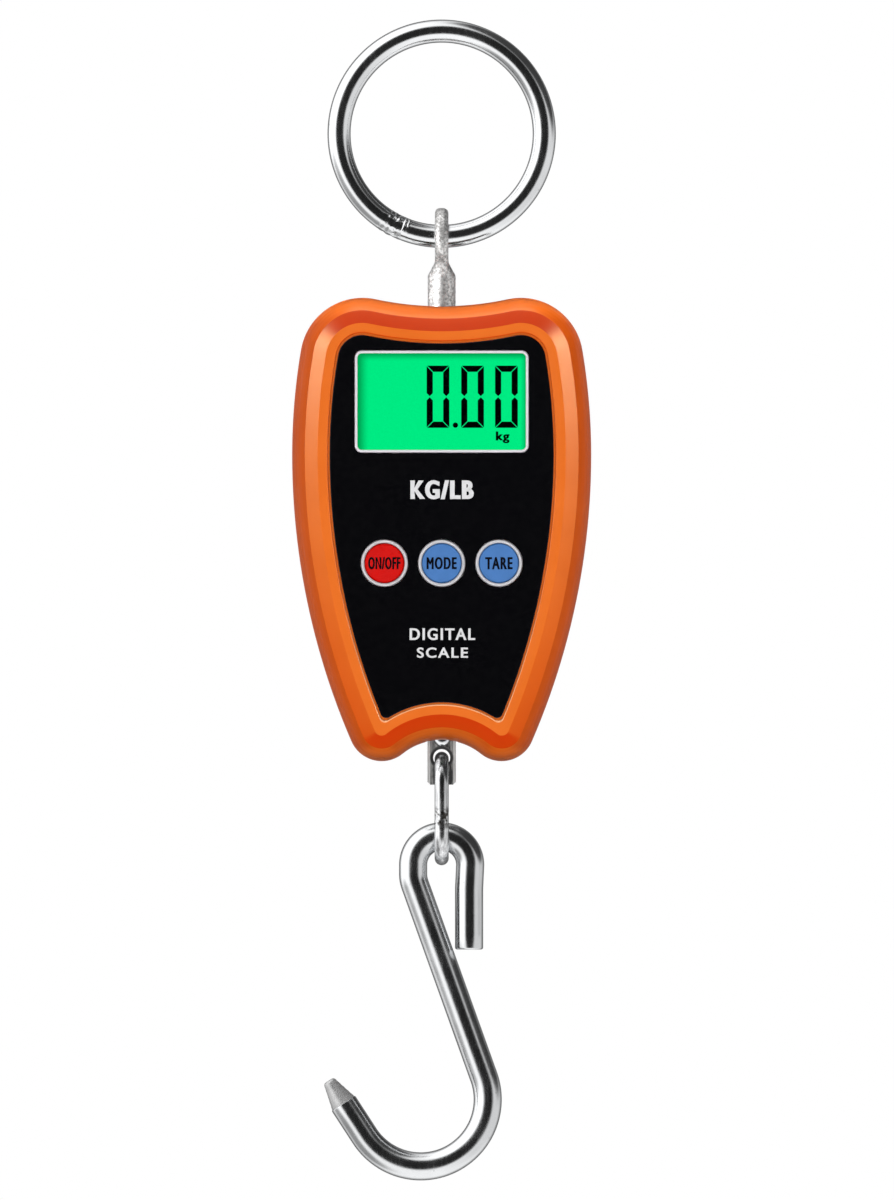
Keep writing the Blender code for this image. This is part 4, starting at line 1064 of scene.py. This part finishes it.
def make_buttons():
    words = {"power": ("ON/OFF", 8.5), "mode": ("MODE", 7.9), "tare": ("TARE", 7.2)}
    for name, x in BUTTON_X.items():
        at = (x, 0.0, BUTTON_Z)
        finish, slot = (RED, "red_cap") if name == "power" else (BLUE, "blue_cap")
        back = BUTTON_BOX[name][1].y
        profile = filleted([(0.0, CAP_FRONT_Y, 0.0), (CAP_R - 0.25, CAP_FRONT_Y, 0.3),
                            (CAP_R, CAP_FRONT_Y + 0.45, 0.3), (CAP_R, -11.3, 0.0), (6.4, -11.3, 0.0),
                            (6.4, back, 0.0), (0.0, back, 0.0)])
        cap = turned(f"{name}_button_cap", profile, 72, at=at)
        dress(cap, finish, f"{name}_key", slot, f"{name}_button")
        text, width = words[name]
        label = lettering(f"{name}_button_words", text, (x, BUTTON_Z), (width, 3.2), CAP_FRONT_Y,
                          (0.15, 0.08), 1.22)
        dress(label, INK_BLACK, f"{name}_key", "black_panel")
        rim_low, rim_high = node_box(f"{name}_button_rim")
        edge = 0.3
        profile = filleted([(RIM_INNER_R, rim_high.y, 0.0), (RIM_INNER_R, rim_low.y, edge),
                            (RIM_OUTER_R, rim_low.y, edge), (RIM_OUTER_R, rim_high.y - 0.6, 0.0),
                            (RIM_FLANGE_R, rim_high.y - 0.6, 0.0), (RIM_FLANGE_R, rim_high.y, 0.0)])
        rim = turned(f"{name}_button_ring", profile, 72, at=at)
        dress(rim, SILVER, "housing", "silver_rim", f"{name}_button_rim")


# ---- hanging parts

def bell(offset, width):
    """A smooth hump: 1 at the middle, falling to 0 beyond the width."""
    return math.exp(-(offset / width) ** 2)


def make_ring():
    """The ring, with its butt weld at lower left: a low bead, two sharp ridges and a round pit."""
    span = 4 * WELD_REACH
    turns = [-span + 2 * span * i / 110 for i in range(110)]
    turns += [span + (math.tau - 2 * span) * i / 190 for i in range(190)]
    path = [(RING_MEAN_R * math.cos(WELD_BEARING + turn), 0.0,
             RING_Z + RING_MEAN_R * math.sin(WELD_BEARING + turn)) for turn in turns]

    def relief(i, angle):
        turn = turns[i]
        if abs(turn) > span:
            return 0.0
        along = turn * RING_MEAN_R
        around = math.remainder(angle - WELD_PIT_ANGLE, math.tau) * RING_WIRE_R
        place = Vector((along * 0.9, math.cos(angle) * 2.2, math.sin(angle) * 2.2))
        lumps = noise.fractal(place, 0.7, 2.0, 3)
        front = bell(around, 2.6)
        ridges = bell(along - 2.6, 0.22) + 0.8 * bell(along - 3.6, 0.2) + 0.5 * bell(along + 1.9, 0.25)
        pit = bell(math.hypot(along, around), 0.42)
        lip = bell(math.hypot(along, around) - 0.75, 0.2)
        return min(0.16 * lumps * bell(turn, WELD_REACH * 1.3) + 0.16 * front * ridges
                   + 0.14 * lip - 0.45 * pit, 0.22)

    ring = tube("hang_ring_wire", path, [RING_WIRE_R] * len(path), 64, True, relief)
    dress(ring, CHROME, "ring", "chrome", "hang_ring")


def make_eye_bolt():
    """A cast eye that flows into its shank, remeshed so that every joint has a fillet."""
    half = EYE_THICK / 2
    profile = filleted([(EYE_HOLE_R, 0.0, 0.0), (EYE_HOLE_R, -half, 1.3), (EYE_OUTER_R, -half, 1.3),
                        (EYE_OUTER_R, half, 1.3), (EYE_HOLE_R, half, 1.3), (EYE_HOLE_R, 0.01, 0.0)])
    bolt = turned("eye_bolt_casting", profile, 72, "X", (0.0, 0.0, EYE_Z), 180.0)
    sections = [(EYE_Z - EYE_HOLE_R - 1.4, half - 0.1, 5.4), (EYE_Z - EYE_OUTER_R + 1.2, half + 0.25, 4.9),
                (SHANK_TOP_Z + 0.2, SHANK_R, SHANK_R), (SHANK_SHOWN_Z, SHANK_R, SHANK_R)]
    circle = arc((0.0, 0.0), 1.0, 0.0, math.tau, 48)
    neck = loft("tool", [[(x * rx, y * ry, z) for x, y in circle] for z, rx, ry in sections])
    cut(bolt, neck, "UNION")
    step = bolt.modifiers.new("cast", "REMESH")
    step.mode = "VOXEL"
    step.voxel_size = 0.28 * MM
    soften = bolt.modifiers.new("soften", "SMOOTH")
    soften.iterations = 4
    bake_modifiers(bolt)
    for vertex in bolt.data.vertices:
        place = vertex.co / MM
        lump = noise.fractal(place * 1.1, 0.6, 2.0, 3)
        if place.z > SHANK_SHOWN_Z + 0.6:
            vertex.co += vertex.normal * lump * 0.05 * MM
    dress(smoothed(bolt, 180.0), ZINC, "housing", "cast_zinc", "eye_bolt")
    CASTINGS.objects.link(bolt)
    hidden_r, hidden_top = SHANK_R - 0.1, SHANK_SHOWN_Z + 1.0
    profile = [(0.0, hidden_top), (hidden_r, hidden_top), (hidden_r, SHANK_END_Z)]
    z = SHANK_END_Z - 0.4
    while z > THREAD_END_Z + THREAD_PITCH:
        profile += [(THREAD_R - 0.45, z), (THREAD_R, z - THREAD_PITCH / 2)]
        z -= THREAD_PITCH
    profile += [(THREAD_R - 0.6, THREAD_END_Z), (0.0, THREAD_END_Z)]
    stem = turned("eye_bolt_stem", profile, 40, "Z")
    dress(stem, ZINC, "housing", "cast_zinc")


def make_rivet():
    head = WEB_Y + 0.3
    side = [(0.0, 0.9), (1.0, 0.86), (1.8, 0.68), (2.25, 0.36), (2.4, 0.0)]
    profile = [(radius, -head - rise) for radius, rise in side] + [(1.2, -head), (1.2, head)]
    profile += [(radius, head + rise) for radius, rise in reversed(side)]
    rivet = turned("tab_rivet_pin", profile, 48, at=(0.0, 0.0, RIVET_Z))
    dress(rivet, CHROME, "housing", "chrome", "tab_rivet")


def make_link():
    """The link, with its weld on the leg towards the reader."""
    centre_low = LINK_BOTTOM_Z + LINK_BEND_R
    centre_high = LINK_TOP_Z - LINK_BEND_R
    path = arc((0.0, centre_high), LINK_BEND_R, 0.0, math.pi, 36)
    path += straight((-LINK_BEND_R, centre_high), (-LINK_BEND_R, centre_low), 24)
    path += arc((0.0, centre_low), LINK_BEND_R, math.pi, math.tau, 36)
    path += straight((LINK_BEND_R, centre_low), (LINK_BEND_R, centre_high), 24)

    def relief(i, angle):
        y, z = path[i]
        if y > 0.0 or abs(z - LINK_WELD_Z) > 6.0:
            return 0.0
        lumps = noise.noise(Vector((z * 1.6, math.cos(angle) * 1.5, math.sin(angle) * 1.5)))
        flash = 0.12 * bell(z - LINK_WELD_Z, 0.35)
        return min(flash + 0.22 * lumps * bell(z - LINK_BURN_Z, 2.0), 0.12)

    points = [(0.0, y, z) for y, z in path]
    link = tube("chain_link_wire", points, [LINK_WIRE_R] * len(points), 28, True, relief)
    dress(link, LINK_WIRE, "link", "chrome", "chain_link")


def hook_path():
    """Centreline of the S-hook from the short leg to the tip, with the wire's scale at each point."""
    eye = (0.0, HOOK_TOP_Z - HOOK_EYE_R)
    bend_x = HOOK_BEND_R - HOOK_EYE_R
    bowl_start = (BOWL[0] + BOWL_R * math.cos(HOOK_LEAN), BOWL[1] + BOWL_R * math.sin(HOOK_LEAN))
    bend_end_x = bend_x - HOOK_BEND_R * math.cos(HOOK_LEAN)
    bend_end_z = bowl_start[1] + (bowl_start[0] - bend_end_x) / math.tan(HOOK_LEAN)
    bend = (bend_x, bend_end_z + HOOK_BEND_R * math.sin(HOOK_LEAN))

    path, scales = [], []
    for reach, scale in ((0.0, 0.90), (0.1, 0.945), (0.3, 0.985), (0.5, 1.0), (4.0, 1.0), (8.0, 1.0),
                         (12.0, 1.0), (16.0, 1.0)):
        path.append((HOOK_LEG_END[0], HOOK_LEG_END[1] + reach))
        scales.append(scale)
    path.append((HOOK_EYE_R - 0.1, eye[1] - 2.0))
    path += arc(eye, HOOK_EYE_R, 0.0, math.pi, 48)
    path += [(-HOOK_EYE_R, eye[1])]
    path += arc(bend, HOOK_BEND_R, math.pi, math.pi + HOOK_LEAN, 12)
    path += straight((bend_end_x, bend_end_z), bowl_start, 12)
    end_angle = -math.pi + BOWL_END
    path += arc(BOWL, BOWL_R, HOOK_LEAN, end_angle, 80)
    end = (BOWL[0] + BOWL_R * math.cos(end_angle), BOWL[1] + BOWL_R * math.sin(end_angle))
    way = (math.sin(end_angle), -math.cos(end_angle))
    path += [end, (end[0] + way[0] * TIP_STRAIGHT / 2, end[1] + way[1] * TIP_STRAIGHT / 2)]
    scales += [1.0] * (len(path) - len(scales))
    steps = [(TIP_STRAIGHT - 0.3, 1.0), (TIP_STRAIGHT - 0.05, 0.98), (TIP_STRAIGHT + 0.05, 0.93)]
    for i in range(1, TIP_RIDGES + 1):
        t = i / TIP_RIDGES
        scale = 0.93 + (TIP_SCALE - 0.93) * t
        steps.append((TIP_STRAIGHT + (TIP_CONE - 0.6) * t, scale + (0.012 if i % 2 else -0.004)))
    point = TIP_STRAIGHT + TIP_CONE
    steps += [(point - 0.25, TIP_SCALE * 0.9), (point, TIP_SCALE * 0.66)]
    for reach, scale in steps:
        path.append((end[0] + way[0] * reach, end[1] + way[1] * reach))
        scales.append(scale)
    return path, scales


def make_hook():
    """The S-hook: drawn wire, with a turned cone for its tip."""
    path, scales = hook_path()
    hook = tube("s_hook_wire", at_y(path, 0.0), [HOOK_WIRE_R * scale for scale in scales], 44)
    dress(hook, DRAWN, "hook", "chrome", "s_hook")
    hook.data.materials.append(TIP)
    cone = Vector((path[TIP_FIRST][0], 0.0, path[TIP_FIRST][1]))
    way = (Vector((path[-1][0], 0.0, path[-1][1])) - cone).normalized()
    for face in hook.data.polygons:
        if (face.center / MM - cone).dot(way) > 0.0 and face.center.x < cone.x * MM + 0.004:
            face.material_index = 1


# ---- parts kept from the CAD

# Finish, width of the rounded edge, and the nodes that have them.
KEPT = (
    (CELL_STEEL, 0.12, ["load_cell"]),
    (STEEL, 0.3, ["eye_bolt_nut"]),
    (STEEL, 0.15, ["eye_bolt_washer"]),
    (STEEL, 0.1, ["crystal"]),
    (STEEL, 0.0, ["cell_screw_left", "cell_screw_right"]),
    (STEEL, 0.0, [f"{kind}_screw_{i}" for kind in ("shell", "pcb") for i in (1, 2, 3, 4)]),
    (GAUGE, 0.0, ["strain_gauge_upper", "strain_gauge_lower"]),
    (LENS, 0.0, ["lcd_window"]),
    (LCD_GREEN, 0.0, ["lcd_glass"]),
    (DIFFUSER, 0.0, ["lcd_backlight"]),
    (HOLDER, 0.1, ["lcd_holder"]),
    (ZEBRA, 0.0, ["zebra_strip_upper", "zebra_strip_lower"]),
    (BOARD, 0.0, ["main_pcb"]),
    (CHIP, 0.0, ["mcu_chip", "capacitor"] + [f"{name}_switch_plunger" for name in BUTTON_X]),
    (CHIP, 0.15, [f"{name}_switch" for name in BUTTON_X]),
    (TRAY, 0.1, ["battery_tray"]),
    (WRAP, 0.1, ["battery_left", "battery_right"]),
    (SPRING, 0.0, [f"battery_contact_{place}" for place in ("left", "right", "bridge")]),
    (SPRING, 0.0, ["battery_spring_left", "battery_spring_right"]),
    (LEAD_RED, 0.0, ["battery_lead_red"]),
    (LEAD_BLACK, 0.0, ["battery_lead_black"]),
    (LEAD_WHITE, 0.0, ["load_cell_cable"]),
)


def finish_kept():
    """Procedural finishes on the CAD pieces that stay, and small rounded edges where they show."""
    for finish, edge, names in KEPT:
        for item in (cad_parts[name] for name in names):
            item.data.materials.clear()
            item.data.materials.append(finish)
            if edge:
                step = item.modifiers.new("edges", "BEVEL")
                step.width = edge * MM
                step.segments = 2
                step.limit_method = "ANGLE"
                step.angle_limit = math.radians(40)


# ---- build

bpy.context.scene.view_settings.view_transform = "Standard"
for make in (make_camera, make_stage, make_ring, make_eye_bolt, make_rivet, make_link, make_hook,
             make_front_shell, make_rear_shell, make_door, make_panel, make_print, make_digits,
             make_bezel, make_buttons, finish_kept):
    make()
